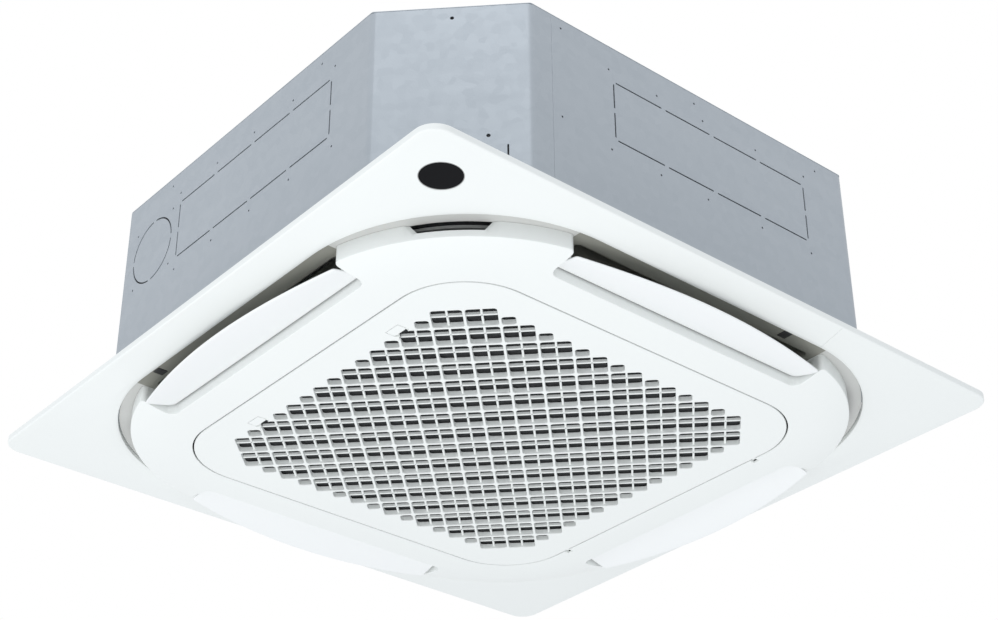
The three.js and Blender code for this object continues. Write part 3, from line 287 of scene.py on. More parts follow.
def new_pattern(name, inputs):
    """An empty pattern: the group, the sockets given to it, and the place on the piece."""
    group = bpy.data.node_groups.new(name, "ShaderNodeTree")
    for label, value in inputs.items():
        kind = COLOR if isinstance(value, tuple) else FLOAT
        socket = group.interface.new_socket(label, in_out="INPUT", socket_type=kind)
        socket.default_value = (*value, 1) if kind == COLOR else value
    for label, kind in (("Color", COLOR), ("Roughness", FLOAT), ("Height", FLOAT)):
        group.interface.new_socket(label, in_out="OUTPUT", socket_type=kind)
    given = group.nodes.new("NodeGroupInput").outputs
    return group, given, group.nodes.new("ShaderNodeTexCoord").outputs["Object"]


def put_out(group, *results):
    """Ends a pattern with its colour, roughness and height."""
    made = group.nodes.new("NodeGroupOutput")
    for result, socket in zip(results, made.inputs):
        group.links.new(result, socket)
    return group


def math_node(group, operation, first, second):
    node = group.nodes.new("ShaderNodeMath")
    node.operation = operation
    for socket, value in zip(node.inputs, (first, second)):
        if isinstance(value, (int, float)):
            socket.default_value = value
        else:
            group.links.new(value, socket)
    return node.outputs[0]


def mixed(group, factor, first, second):
    node = group.nodes.new("ShaderNodeMix")
    node.data_type = "RGBA"
    for place, source in ((0, factor), (6, first), (7, second)):
        group.links.new(source, node.inputs[place])
    return node.outputs[2]


def varied(group, rough, mask, amount):
    """A roughness with an amount of a mask added to it."""
    return math_node(group, "ADD", rough, math_node(group, "MULTIPLY", mask, amount))


def noise(group, place, scale, detail=3, stretch=None):
    if stretch:
        mapping = group.nodes.new("ShaderNodeMapping")
        mapping.inputs["Scale"].default_value = stretch
        group.links.new(place, mapping.inputs["Vector"])
        place = mapping.outputs[0]
    node = group.nodes.new("ShaderNodeTexNoise")
    node.inputs["Detail"].default_value = detail
    if isinstance(scale, (int, float)):
        node.inputs["Scale"].default_value = scale
    else:
        group.links.new(scale, node.inputs["Scale"])
    group.links.new(place, node.inputs["Vector"])
    return node.outputs["Fac"]


def zinc_pattern():
    """Faint zinc crystals on rolled steel, with soft clouds."""
    group, given, at = new_pattern(
        "zinc_skin",
        {"Pale": (0.6, 0.64, 0.68), "Dark": (0.5, 0.54, 0.58), "Crystal size": 90.0, "Roughness": 0.42},
    )
    crystals = group.nodes.new("ShaderNodeTexVoronoi")
    crystals.inputs["Randomness"].default_value = 1
    group.links.new(at, crystals.inputs["Vector"])
    group.links.new(given["Crystal size"], crystals.inputs["Scale"])
    tone = group.nodes.new("ShaderNodeSeparateColor")
    group.links.new(crystals.outputs["Color"], tone.inputs[0])
    rolled = noise(group, at, 6.0, 4, (1, 1, 9))
    cloud = noise(group, at, 3.0, 2)
    shade = math_node(group, "MULTIPLY", tone.outputs[0], 0.22)
    shade = math_node(group, "ADD", shade, math_node(group, "MULTIPLY", rolled, 0.35))
    shade = math_node(group, "ADD", shade, math_node(group, "MULTIPLY", cloud, 0.45))
    rough = varied(group, given["Roughness"], math_node(group, "SUBTRACT", shade, 0.45), 0.22)
    fine = noise(group, at, 420.0, 2)
    height = math_node(group, "ADD", math_node(group, "MULTIPLY", rolled, 0.6), fine)
    return put_out(group, mixed(group, shade, given["Pale"], given["Dark"]), rough, height)


zinc = zinc_pattern()


def coated(name, group, values, metallic=0.0, relief=0.05, relief_depth=0.0004, specular=0.5):
    """A material whose colour, roughness and relief come from one of the patterns."""
    made = bpy.data.materials.new(name)
    made.use_nodes = True
    nodes, links = made.node_tree.nodes, made.node_tree.links
    skin = nodes["Principled BSDF"]
    pattern = nodes.new("ShaderNodeGroup")
    pattern.node_tree = group
    for label, value in values.items():
        pattern.inputs[label].default_value = (*value, 1) if isinstance(value, tuple) else value
    links.new(pattern.outputs["Color"], skin.inputs["Base Color"])
    links.new(pattern.outputs["Roughness"], skin.inputs["Roughness"])
    bump = nodes.new("ShaderNodeBump")
    bump.inputs["Strength"].default_value = relief
    bump.inputs["Distance"].default_value = relief_depth
    links.new(pattern.outputs["Height"], bump.inputs["Height"])
    links.new(bump.outputs[0], skin.inputs["Normal"])
    skin.inputs["Metallic"].default_value = metallic
    skin.inputs["Specular IOR Level"].default_value = specular
    made.diffuse_color = (*values.get("Pale", values.get("Color", (0.5, 0.5, 0.5))), 1)
    return made


galvanised = coated(
    "galvanised_steel",
    zinc,
    {"Pale": (0.43, 0.47, 0.51), "Dark": (0.375, 0.415, 0.455), "Roughness": 0.42},
    metallic=0.3,
    relief=0.12,
)

TUCK = SHEET / math.sqrt(2) + 0.3  # a sheet starts clear of the slanted one that it meets
H = HOUSING
housing_paths = {
    "front": [(-FLAT + TUCK, -H), (FLAT, -H), (H, -FLAT), (H, -FLAT + WRAP)],
    "right": [(H, -FLAT + WRAP + 0.3), (H, FLAT), (FLAT, H)],
    "back": [(FLAT - TUCK, H), (-FLAT, H), (-H, FLAT)],
    "left": [(-H, FLAT - TUCK), (-H, -FLAT), (-FLAT, -H)],
}
LOW_ROW = 141.5
HIGH_ROW = 264.8
duct_rows = [(a, z) for z in (LOW_ROW, HIGH_ROW) for a in (-147, -58, 29, 116, 206)]
front_holes = duct_rows + [(-164, 248), (-164, 159), (-254, 248), (-254, 160), (177, 286), (-170, 288)]
right_rows = [(a, z) for z in (LOW_ROW, HIGH_ROW) for a in (-153, -70, 12, 110, 203)]
right_holes = right_rows + [(-2, 286), (228, 285), (-232, 288), (-233, 152)]
# On the cut corner: places along it from its middle, and heights.
corner_holes = [(1, 285.5, 2.6), (45, 105, 2.6), (21, 106, 1.4)]
CORNER_SLIT = (68, 74, 91)
PIPE_WINDOW_W = 75  # half the width of the window for the pipes, on the cut corner at -X, +Y
PIPE_WINDOW_Z = (100, 200)


def upright(point, z):
    return Vector((point.x, point.y, z))


def corner_place(w):
    """A point on the cut corner at +X, -Y, w along it from its middle towards +X."""
    middle = (FLAT + H) / 2
    return middle + w / math.sqrt(2), -middle + w / math.sqrt(2)


for side, path in housing_paths.items():
    stations = fold(path, FOLD_R)
    holes = []
    if side == "front":
        holes = [circle(run_to(stations, x, -H), z, HOLE_R, 12) for x, z in front_holes]
        holes += duct_knockout(run_to(stations, DUCT_SHIFT, -H))
        holes += fresh_air_knockout(run_to(stations, FRESH_AIR_AT, -H))
        holes += [circle(run_to(stations, *corner_place(w)), z, r, 14) for w, z, r in corner_holes]
        w, z0, z1 = CORNER_SLIT
        a = run_to(stations, *corner_place(w))
        holes.append(slit(a, z0, a, z1))
    if side == "right":
        holes = [circle(run_to(stations, H, y), z, HOLE_R, 12) for y, z in right_holes]
        holes += duct_knockout(run_to(stations, H, DUCT_SHIFT))
    if side == "left":
        holes = duct_knockout(run_to(stations, -H, DUCT_SHIFT))
        holes += [circle(run_to(stations, -H, -a), z, HOLE_R, 12) for a, z in duct_rows]
    if side == "back":
        middle = run_to(stations, -(FLAT + H) / 2, (FLAT + H) / 2)
        pipe_window = rectangle(middle - PIPE_WINDOW_W, middle + PIPE_WINDOW_W, *PIPE_WINDOW_Z)
        holes = [rounded(pipe_window, 3)]
    runs = [station[0] for station in stations]
    outline = crossed(rectangle(0, runs[-1], HOUSING_BASE, HOUSING_TOP), runs[1:-1])
    bends = [[(a, HOUSING_BASE), (a, HOUSING_TOP)] for a in runs[1:-1]]
    wall = formed(
        outline,
        folded_place(stations, upright),
        soft_edge(0.25, SHEET),
        holes,
        plain_edge(SHEET),
        bends,
    )
    piece("housing_" + side, wall, galvanised, stands_for=["body_" + side])

# ---------------------------------------------------------------- top plate and linings
# The lid is one flat sheet of galvanised steel, held along its edge by screws sunk level with it.
# Dark grey foam is glued inside the lid and the sides, against sweating and noise.


def foam_pattern():
    """Small round cells, with painted shade darkening the hollows between them."""
    group, given, at = new_pattern(
        "foam_cells",
        {"Color": (0.1, 0.1, 0.11), "Hollow shade": (0.05, 0.05, 0.05), "Cell size": 400.0, "Roughness": 0.9},
    )
    cells = group.nodes.new("ShaderNodeTexVoronoi")
    group.links.new(at, cells.inputs["Vector"])
    group.links.new(given["Cell size"], cells.inputs["Scale"])
    depth = cells.outputs["Distance"]
    rough = varied(group, given["Roughness"], noise(group, at, 30.0), 0.08)
    # Painted shade: the colour darkens towards the hollows between the cells.
    color = mixed(group, depth, given["Color"], given["Hollow shade"])
    return put_out(group, color, rough, math_node(group, "SUBTRACT", 1.0, depth))


foam = foam_pattern()
# The hollow colour of this foam is painted shade between its cells.
dark_foam = coated(
    "dark_foam_sheet",
    foam,
    {"Color": (0.045, 0.047, 0.05), "Hollow shade": (0.012, 0.012, 0.013), "Roughness": 0.88},
    relief=0.5,
    relief_depth=0.001,
)


def eased_group():
    """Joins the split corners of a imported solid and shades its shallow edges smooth."""
    group = bpy.data.node_groups.new("eased_edges", "GeometryNodeTree")
    group.interface.new_socket("Geometry", in_out="INPUT", socket_type="NodeSocketGeometry")
    group.interface.new_socket("Geometry", in_out="OUTPUT", socket_type="NodeSocketGeometry")
    add, link = group.nodes.new, group.links.new
    bare = add("GeometryNodeRemoveAttribute")
    bare.inputs["Name"].default_value = "custom_normal"
    merge = add("GeometryNodeMergeByDistance")
    merge.inputs["Distance"].default_value = 2e-5
    faces = add("GeometryNodeSetShadeSmooth")
    edges = add("GeometryNodeSetShadeSmooth")
    edges.domain = "EDGE"
    angle = add("GeometryNodeInputMeshEdgeAngle")
    shallow = add("FunctionNodeCompare")
    shallow.operation = "LESS_THAN"
    shallow.inputs[1].default_value = math.radians(36)
    link(add("NodeGroupInput").outputs[0], bare.inputs["Geometry"])
    link(bare.outputs[0], merge.inputs["Geometry"])
    link(merge.outputs[0], faces.inputs["Geometry"])
    link(faces.outputs[0], edges.inputs["Geometry"])
    link(angle.outputs["Unsigned Angle"], shallow.inputs[0])
    link(shallow.outputs[0], edges.inputs["Shade Smooth"])
    link(edges.outputs[0], add("NodeGroupOutput").inputs[0])
    return group


eased = eased_group()


def dressed(name, material, bevel=0.0):
    """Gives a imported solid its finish, and softens its edges."""
    solid = cad[name]
    solid.data.materials.clear()
    solid.data.materials.append(material)
    solid.modifiers.new("eased_edges", "NODES").node_group = eased
    if bevel:
        soft = solid.modifiers.new("soft_edges", "BEVEL")
        soft.width = bevel * MM
        soft.segments = 2
        soft.limit_method = "ANGLE"
        soft.angle_limit = math.radians(40)
        soft.harden_normals = False
        solid.modifiers.new("even_normals", "WEIGHTED_NORMAL").keep_sharp = True
    return solid


def level(z):
    """Seats a flat blank with its front face at a height, and its depth upwards."""
    return lambda a, b, depth: Vector((a, b, z + depth))


def octagon(half, corner):
    side = half - corner
    return [
        (side, -half), (half, -side), (half, side), (side, half),
        (-side, half), (-half, side), (-half, -side), (-side, -half),
    ]


# The lid, with screws sunk level along its edge.
LID_TOP = 303
SINK_R = 5
SINK = 0.9
LID_SCREW_IN = 9  # from the edge of the lid to a screw
lid_line = HOUSING - LID_SCREW_IN
lid_screws = [(a, s * lid_line) for s in (-1, 1) for a in (-230, 0, 230)]
lid_screws += [(s * lid_line, a) for s in (-1, 1) for a in (-230, 0, 230)]
lid = formed(
    rounded(octagon(HOUSING, CORNER_CUT), 6, 5),
    lambda a, b, depth: Vector((a, b, LID_TOP - depth)),
    soft_edge(0.3, SHEET),
    [circle(a, b, SINK_R - 0.6, 20) for a, b in lid_screws],
    soft_edge(SINK, SHEET),
)
piece("lid", lid, galvanised, stands_for=["top_plate"])
dressed("side_lining", dark_foam)
dressed("top_lining", dark_foam)


def ringed(rings, ends="join"):
    """Rings of equal count joined one to the next. ends joins the last to the first, or caps both."""
    made = bmesh.new()
    rows = [[made.verts.new(p * MM) for p in ring] for ring in rings]
    pairs = list(zip(rows, rows[1:]))
    if ends == "join":
        pairs.append((rows[-1], rows[0]))
    for low, high in pairs:
        for k in range(len(low)):
            made.faces.new((low[k - 1], low[k], high[k], high[k - 1]))
    if ends == "cap":
        made.faces.new(rows[0])
        made.faces.new(rows[-1])
    bmesh.ops.recalc_face_normals(made, faces=made.faces)
    return made


def lathe(profile, sides=64, at=(0, 0), ends="join"):
    """A profile of (radius, z) turned about an upright axis."""
    return ringed([[Vector((*p, z)) for p in circle(*at, r, sides)] for r, z in profile], ends)


def joined(*shapes):
    """Several shapes as one."""
    whole = bmesh.new()
    for shape in shapes:
        part = bpy.data.meshes.new("part")
        shape.to_mesh(part)
        shape.free()
        whole.from_mesh(part)
        bpy.data.meshes.remove(part)
    return whole


def screw_head(at, radius):
    """A countersunk head with its cross recess as a small hollow, its face at the height given."""
    x, y, z = at
    profile = [(radius, z - 1.2), (radius, z - 0.15), (radius - 0.15, z), (1.3, z), (0.6, z - 0.9)]
    return lathe(profile, 20, (x, y), "cap")


def grain_pattern():
    """Fine grain of a moulded or drawn surface, with faint dull patches from handling."""
    group, given, at = new_pattern(
        "surface_grain",
        {"Color": (0.8, 0.8, 0.8), "Handled": (0.76, 0.76, 0.75), "Grain size": 900.0, "Roughness": 0.4,
         "Spread": 0.1},
    )
    patches = noise(group, at, 7.0, 5)
    fine = noise(group, at, given["Grain size"], 2)
    uneven = math_node(group, "SUBTRACT", patches, 0.5)
    rough = varied(group, given["Roughness"], uneven, given["Spread"])
    return put_out(group, mixed(group, patches, given["Color"], given["Handled"]), rough, fine)


grain = grain_pattern()
bright_steel = coated(
    "bright_steel",
    grain,
    {"Color": (0.55, 0.56, 0.58), "Handled": (0.42, 0.43, 0.45), "Roughness": 0.32, "Spread": 0.2},
    metallic=0.9,
    relief=0.08,
)
heads = joined(*[screw_head((a, b, LID_TOP - 0.1), SINK_R - 0.9) for a, b in lid_screws])
piece("lid_screws", heads, bright_steel)

# ---------------------------------------------------------------- hangers
# On each cut corner a bracket of thick galvanised steel, bent once and held by two hexagon screws.
# Its slotted ear takes the threaded rod that comes down from the ceiling.

HANGER_W = 90
HANGER_BACK = 493.9  # the back of the bracket, from the middle of the unit along the diagonal
HANGER_TIP = 539.9
HANGER_LOW = 24
HANGER_HIGH = 86
HANGER_SHEET = 3
ROD_SLOT = 12
ROD_SLOT_LENGTH = 24
HANGER_EASE = 0.3
HANGER_SCREW_DOWN = 18  # from the upper edge of the bracket
HANGER_SCREW_ASIDE = 30
HANGER_HOLE_R = 3.2

hanger_fold = fold([(HANGER_BACK, HANGER_HIGH), (HANGER_BACK, HANGER_LOW), (HANGER_TIP, HANGER_LOW)], 6)
hanger_length = hanger_fold[-1][0]
hanger_half = HANGER_W / 2
slot_half = ROD_SLOT / 2
slot_end = hanger_length - ROD_SLOT_LENGTH
hanger_outline = rounded(
    [
        (0, -hanger_half), (hanger_length, -hanger_half),
        (hanger_length, -slot_half), (slot_end, -slot_half),
        (slot_end, slot_half), (hanger_length, slot_half),
        (hanger_length, hanger_half), (0, hanger_half),
    ],
    [4, 10, 1.5, slot_half - 0.2, slot_half - 0.2, 1.5, 10, 4],
)
bend_runs = [station[0] for station in hanger_fold[1:-1]]
hanger_bends = [[(a, -hanger_half), (a, hanger_half)] for a in bend_runs]
fixing_holes = [(HANGER_SCREW_DOWN, s * HANGER_SCREW_ASIDE) for s in (-1, 1)]


def eased_twice(ease, depth):
    """The edge profile of a sheet eased at its front and its back."""
    return [(ease, 0), (0, ease), (0, depth - ease), (ease, depth)]


def turned_about_x(profile, sides, x, y, z):
    """A profile of (radius, depth) turned about an axis along +X and closed at both ends."""
    return ringed([[Vector((x + d, *p)) for p in circle(y, z, r, sides)] for r, d in profile], "cap")


def hex_screw(seat, flange_r, flange, hex_r, height, ease):
    """A hexagon head on its round flange, with eased front edges; its axis runs along +X."""
    disc = [(flange_r, 0), (flange_r, flange - 0.3), (flange_r - ease, flange)]
    head = [(hex_r, flange), (hex_r, height - 0.5), (hex_r - ease - 0.3, height)]
    return joined(turned_about_x(disc, 24, *seat), turned_about_x(head, 6, *seat))


for k in range(4):
    bracket = formed(
        crossed(hanger_outline, bend_runs),
        folded_place(hanger_fold, lambda point, b: Vector((point.x, b, point.y))),
        eased_twice(HANGER_EASE, HANGER_SHEET),
        [circle(a, b, HANGER_HOLE_R, 16) for a, b in fixing_holes],
        plain_edge(HANGER_SHEET),
        hanger_bends,
    )
    turn = k * QUARTER - QUARTER / 2
    number = "_%d" % (k + 1)
    piece(
        "hanger_bracket" + number,
        turned_about_z(bracket, turn),
        galvanised,
        stands_for=["hanger" + number],
    )
    heads = [
        hex_screw((HANGER_BACK + HANGER_SHEET, b, HANGER_HIGH - a), 7, 0.9, 5.5, 3.9, 0.4)
        for a, b in fixing_holes
    ]
    screws = turned_about_z(joined(*heads), turn)
    piece("hanger_screws" + number, screws, bright_steel)

# ---------------------------------------------------------------- motor, wheel and bell mouth
# The motor hangs from a bridge under the lid. The wheel is moulded in white plastic: a cup-shaped hub and
# back plate, seven swept blades and a flared shroud, held on the shaft by a washer and a nut.

dressed("motor_mount", galvanised, 0.4)
dressed("fan_shaft", bright_steel)
dressed("fan_washer", bright_steel)
dressed("fan_nut", bright_steel, 0.4)

MOTOR_R = 74
MOTOR_LOW = 188
MOTOR_HIGH = 276
MOTOR_FLANGE_R = 92
MOTOR_SHOULDER = 8
MOTOR_FLANGE = 5
SHAFT_BORE = 6.3
BEARING_R = SHAFT_BORE + 12  # the bearing's seat, which stands out below the case
MOTOR_NECK = 5
FOOT_HALF = 82
FOOT_THICK = 4.8

cast_motor = coated(
    "cast_motor_case",
    grain,
    {"Color": (0.42, 0.43, 0.44), "Handled": (0.30, 0.31, 0.32), "Grain size": 500.0, "Roughness": 0.42,
     "Spread": 0.15},
    metallic=0.7,
    relief=0.15,
)


def square(half):
    return rectangle(-half, half, -half, half)


def quarter_curve(steps, centre, across, up):
    """Points of a quarter ellipse from (centre + across) to (centre + up) in a section."""
    turns = [QUARTER * i / steps for i in range(steps + 1)]
    return [(centre[0] + across * math.cos(t), centre[1] + up * math.sin(t)) for t in turns]


neck_top = MOTOR_LOW + MOTOR_NECK
flange_low = MOTOR_HIGH - MOTOR_FLANGE
shoulder = quarter_curve(
    6, (MOTOR_R - MOTOR_SHOULDER, neck_top + MOTOR_SHOULDER), MOTOR_SHOULDER, -MOTOR_SHOULDER
)
case = lathe(
    [
        (SHAFT_BORE, MOTOR_LOW), (BEARING_R - 1, MOTOR_LOW), (BEARING_R, MOTOR_LOW + 1),
        (BEARING_R, neck_top), *reversed(shoulder), (MOTOR_R, flange_low - 0.5),
        (MOTOR_R + 0.5, flange_low), (MOTOR_FLANGE_R - 0.5, flange_low),
        (MOTOR_FLANGE_R, flange_low + 0.5), (MOTOR_FLANGE_R, MOTOR_HIGH), (SHAFT_BORE, MOTOR_HIGH),
    ],
    72,
)
feet = formed(
    rounded(square(FOOT_HALF), 20, 6),
    level(MOTOR_HIGH - FOOT_THICK - 0.1),
    soft_edge(0.5, FOOT_THICK),
    [circle(0, 0, MOTOR_R, 48)],
    plain_edge(FOOT_THICK),
)
piece("motor_case", joined(case, feet), cast_motor, stands_for=["fan_motor"])

WHEEL_R = 236
WHEEL_TOP = 262
WHEEL_WALL = 3
INLET_R = 178
INLET_Z = 84
SHROUD_Z = 132
CUP_R = 90
CUP_FLOOR = 178
CUP_SLOPE = 40  # the cup's wall rises over this much of the radius
BOSS_R = 20
BOSS_LOW = 168
BLADES = 7
BLADE_ROOT_R = 128
BLADE_LEAN = math.radians(52)
BLADE_HALF = 2

wheel_plastic = coated(
    "wheel_plastic",
    grain,
    {"Color": (0.62, 0.635, 0.64), "Handled": (0.55, 0.56, 0.56), "Grain size": 700.0,
     "Roughness": 0.45},
    relief=0.08,
)
cup_under = CUP_FLOOR - WHEEL_WALL
plate_under = WHEEL_TOP - WHEEL_WALL
hub = lathe(
    [
        (SHAFT_BORE, BOSS_LOW), (BOSS_R - 1, BOSS_LOW), (BOSS_R, BOSS_LOW + 1), (BOSS_R, cup_under - 2),
        (BOSS_R + 2, cup_under), (CUP_R - 12, cup_under), (CUP_R - 8, cup_under + 1.5),
        (CUP_R - 5, CUP_FLOOR + 4), (CUP_R + 14, WHEEL_TOP - 18), (CUP_R + 19, WHEEL_TOP - 9),
        (CUP_R + 26, WHEEL_TOP - 4.5), (CUP_R + 36, plate_under),
        (WHEEL_R - 0.5, plate_under), (WHEEL_R, plate_under + 0.5),
        (WHEEL_R, WHEEL_TOP), (CUP_R + 34, WHEEL_TOP), (CUP_R + 23, WHEEL_TOP - 2),
        (CUP_R + 15, WHEEL_TOP - 8), (CUP_R - 9, CUP_FLOOR + 3), (CUP_R - 13, CUP_FLOOR),
        (BOSS_R, CUP_FLOOR), (BOSS_R, MOTOR_LOW - 4), (SHAFT_BORE, MOTOR_LOW - 4),
    ],
    128,
)


def shroud_height(radius):
    """Inner face of the shroud: a quarter ellipse from the inlet out to the rim."""
    share = min(max((radius - INLET_R) / (WHEEL_R - INLET_R), 0), 1)
    return INLET_Z + (SHROUD_Z - INLET_Z) * math.sin(math.acos(1 - share))


def hub_height(radius):
    """Underside of the hub where a blade meets it."""
    if radius > CUP_R + 34:
        return plate_under
    share = (radius - (CUP_R - 8)) / CUP_SLOPE
    return min(CUP_FLOOR + (WHEEL_TOP - CUP_FLOOR) * share, plate_under)


def blade(turn):
    """One blade: its root slants from the inlet to the hub, and it thins towards the rim."""
    steps = 20
    length = WHEEL_R - 4 - BLADE_ROOT_R

    def swept(t):
        radius = BLADE_ROOT_R + length * t
        angle = turn - BLADE_LEAN * t * (1.15 - 0.15 * t)
        return radius, Vector((radius * math.cos(angle), radius * math.sin(angle)))

    sections = []
    for i in range(steps + 1):
        t = i / steps
        radius, here = swept(t)
        way = (swept(t + 0.01)[1] - here).normalized()
        across = Vector((-way.y, way.x)) * BLADE_HALF * (1 - 0.5 * t) * (0.35 if i in (0, steps) else 1)
        root_rise = max(0.0, 1 - (radius - BLADE_ROOT_R) / (INLET_R - BLADE_ROOT_R))
        low = max(shroud_height(radius) + 1, INLET_Z + 8 + 46 * root_rise ** 1.5)
        high = max(hub_height(radius) + 1, low + 10)
        corners = ((1, low), (-1, low), (-1, high), (1, high))
        sections.append([Vector((*(here + across * s), z)) for s, z in corners])
    return ringed(sections, "cap")


blades = [blade(turn) for turn in full_turn(BLADES)]
piece("fan_wheel", joined(hub, *blades), wheel_plastic, "fan", ["turbo_fan"])
shroud_w, shroud_rise = WHEEL_R - INLET_R, SHROUD_Z - INLET_Z
inner_curve = quarter_curve(16, (WHEEL_R, INLET_Z), -shroud_w, shroud_rise)
outer_curve = []
for point, (across, down) in zip(inner_curve, quarter_curve(16, (0, 0), shroud_rise, -shroud_w)):
    outer_curve.append(Vector(point) + Vector((across, down)).normalized() * WHEEL_WALL)
shroud = lathe(inner_curve + outer_curve[::-1], 128)
piece("wheel_shroud", shroud, wheel_plastic, "fan", ["fan_shroud"])

# The bell mouth is one black moulding: a square flange that rolls up into a round throat.
BELL_THROAT_R = 170
BELL_TOP = 92
BELL_WALL = 2.5
BELL_FLANGE = 300
BELL_FLANGE_TOP = 35.7
BELL_OUTER_R = 254

black_moulding = coated(
    "black_moulding",
    grain,
    {"Color": (0.018, 0.019, 0.02), "Handled": (0.03, 0.03, 0.032), "Roughness": 0.42, "Spread": 0.12},
    relief=0.12,
)
roll = quarter_curve(
    16, (BELL_OUTER_R, BELL_TOP), BELL_THROAT_R - BELL_OUTER_R, BELL_FLANGE_TOP - BELL_TOP
)
throat = lathe(
    [(r, z - BELL_WALL) for r, z in reversed(roll)]
    + [(BELL_THROAT_R, BELL_TOP), (BELL_THROAT_R + BELL_WALL, BELL_TOP)]
    + [(r + BELL_WALL, z) for r, z in roll],
    128,
)
flange = formed(
    rounded(square(BELL_FLANGE), 30, 8),
    level(BELL_FLANGE_TOP - BELL_WALL),
    soft_edge(0.4, BELL_WALL),
    [circle(0, 0, BELL_OUTER_R - 0.5, 128)],
    plain_edge(BELL_WALL),
)
piece("inlet_bell", joined(throat, flange), black_moulding, stands_for=["bell_mouth"])

# ---------------------------------------------------------------- heat exchanger
# Thin aluminium fins pressed onto rows of copper tube and folded round the fan. A tube sheet closes each
# end. The fins are too fine to be cut one by one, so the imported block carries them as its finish.


def from_middle(group, along, count):
    """How far a place lies from the middle of the repeat that it is in, from 0 to a half."""
    phase = math_node(group, "FRACT", math_node(group, "MULTIPLY", along, count), 0)
    return math_node(group, "ABSOLUTE", math_node(group, "SUBTRACT", phase, 0.5), 0)


def fin_pattern():
    """Bright fin edges, with painted shade in the gaps between them, counted along both sides of the coil.
    """
    group, given, at = new_pattern(
        "fin_stack",
        {"Color": (0.7, 0.71, 0.72), "Gap shade": (0.1, 0.1, 0.1), "Fins per metre": 620.0, "Roughness": 0.35},
    )
    axes = group.nodes.new("ShaderNodeSeparateXYZ")
    group.links.new(at, axes.inputs[0])
    run = math_node(group, "ADD", axes.outputs[0], axes.outputs[1])
    ridge = math_node(group, "MULTIPLY", from_middle(group, run, given["Fins per metre"]), 2.0)
    # Painted shade: the colour darkens in the gaps between the fins.
    color = mixed(group, math_node(group, "POWER", ridge, 2.0), given["Color"], given["Gap shade"])
    rough = varied(group, given["Roughness"], noise(group, at, 40.0), 0.15)
    return put_out(group, color, rough, math_node(group, "SUBTRACT", 1.0, ridge))


# The gap colour is painted shade between the fins.
fins = coated(
    "aluminium_fins",
    fin_pattern(),
    {"Color": (0.62, 0.64, 0.65), "Gap shade": (0.08, 0.085, 0.09), "Roughness": 0.34},
    metallic=0.75,
    relief=0.6,
    relief_depth=0.001,
)
copper = coated(
    "copper_tube",
    grain,
    {"Color": (0.62, 0.29, 0.16), "Handled": (0.40, 0.18, 0.10), "Grain size": 300.0, "Roughness": 0.3,
     "Spread": 0.22},
    metallic=0.92,
    relief=0.06,
)
dressed("heat_exchanger", fins)
dressed("tube_sheet_left", copper)
dressed("tube_sheet_back", copper)

# ---------------------------------------------------------------- drain pan
# White expanded polystyrene, moulded in one block: the trough below the coil, the four air ducts and the
# sump. It stands between the coil and the panel and leads the cooled air down to the outlets.

white_foam = coated(
    "white_bead_foam",
    foam,
    # The hollow colour is painted shade between the beads.
    {"Color": (0.66, 0.665, 0.66), "Hollow shade": (0.50, 0.505, 0.50), "Cell size": 320.0, "Roughness": 0.82},
    relief=0.35,
    relief_depth=0.0008,
)
dressed("drain_pan", white_foam)

# ---------------------------------------------------------------- pipes, pipe cover and drain
# Gas and liquid pipes of soft copper leave through the cut corner at -X, +Y and end in flare nuts.
# The drain hose socket between them is white plastic. All of it is drawn round +X and turned there.

PIPE_CORNER = 3 * QUARTER / 2
PIPE_Z = 150
PIPE_SPREAD = 48
PIPE_END = 561.6
PIPE_BEND = 22
GAS_R = 8
LIQUID_R = 5
PIPE_START = (385.4, 54.4)  # where the pipes leave the tube sheets, along and across the corner
NUT_LENGTH = 24
NUT_WIDTH = 1.75  # times the pipe's width
COVER_BACK = HANGER_BACK
COVER_HALF = 87
COVER_Z = (88, 212)
COVER_SCREW_IN = (8, 10)  # from the sides of the plate and from its lower and upper edge
DRAIN_R = 13
DRAIN_Z = 178
DRAIN_END = 543.6
SOCKET_LENGTH = 34
PUMP_AT = 420
PUMP_TOP = 130

brass = coated(
    "turned_brass",
    grain,
    {"Color": (0.66, 0.50, 0.22), "Handled": (0.48, 0.35, 0.15), "Grain size": 260.0, "Roughness": 0.28,
     "Spread": 0.18},
    metallic=0.92,
    relief=0.05,
)
hose_plastic = coated(
    "hose_plastic",
    grain,
    {"Color": (0.70, 0.71, 0.70), "Handled": (0.62, 0.62, 0.60), "Roughness": 0.42},
    relief=0.08,
)


def eased_path(points, bend, steps=8):
    """Straight runs in space joined by arcs of one bend radius."""
    out = [Vector(points[0])]
    for before, corner, after in zip(points, points[1:], points[2:]):
        corner = Vector(corner)
        back = (Vector(before) - corner).normalized()
        on = (Vector(after) - corner).normalized()
        turn = math.pi - back.angle(on)
        reach = bend * math.tan(turn / 2)
        if turn < 0.01:
            out.append(corner)
            continue
        middle = corner + (back + on).normalized() * bend / math.cos(turn / 2)
        start = corner + back * reach - middle
        axis = start.cross(corner + on * reach - middle).normalized()
        out += [middle + Matrix.Rotation(turn * k / steps, 3, axis) @ start for k in range(steps + 1)]
    out.append(Vector(points[-1]))
    return out


def tube(path, radius, sides=28):
    """A round tube along a path in space, its ends closed."""
    rings = []
    side = None
    for i, here in enumerate(path):
        on = path[min(i + 1, len(path) - 1)]
        back = path[max(i - 1, 0)]
        way = (on - back).normalized()
        if side is None:
            side = way.orthogonal().normalized()
        side = (side - way * side.dot(way)).normalized()
        up = way.cross(side)
        rings.append([here + side * a + up * b for a, b in circle(0, 0, radius, sides)])
    return ringed(rings, "cap")


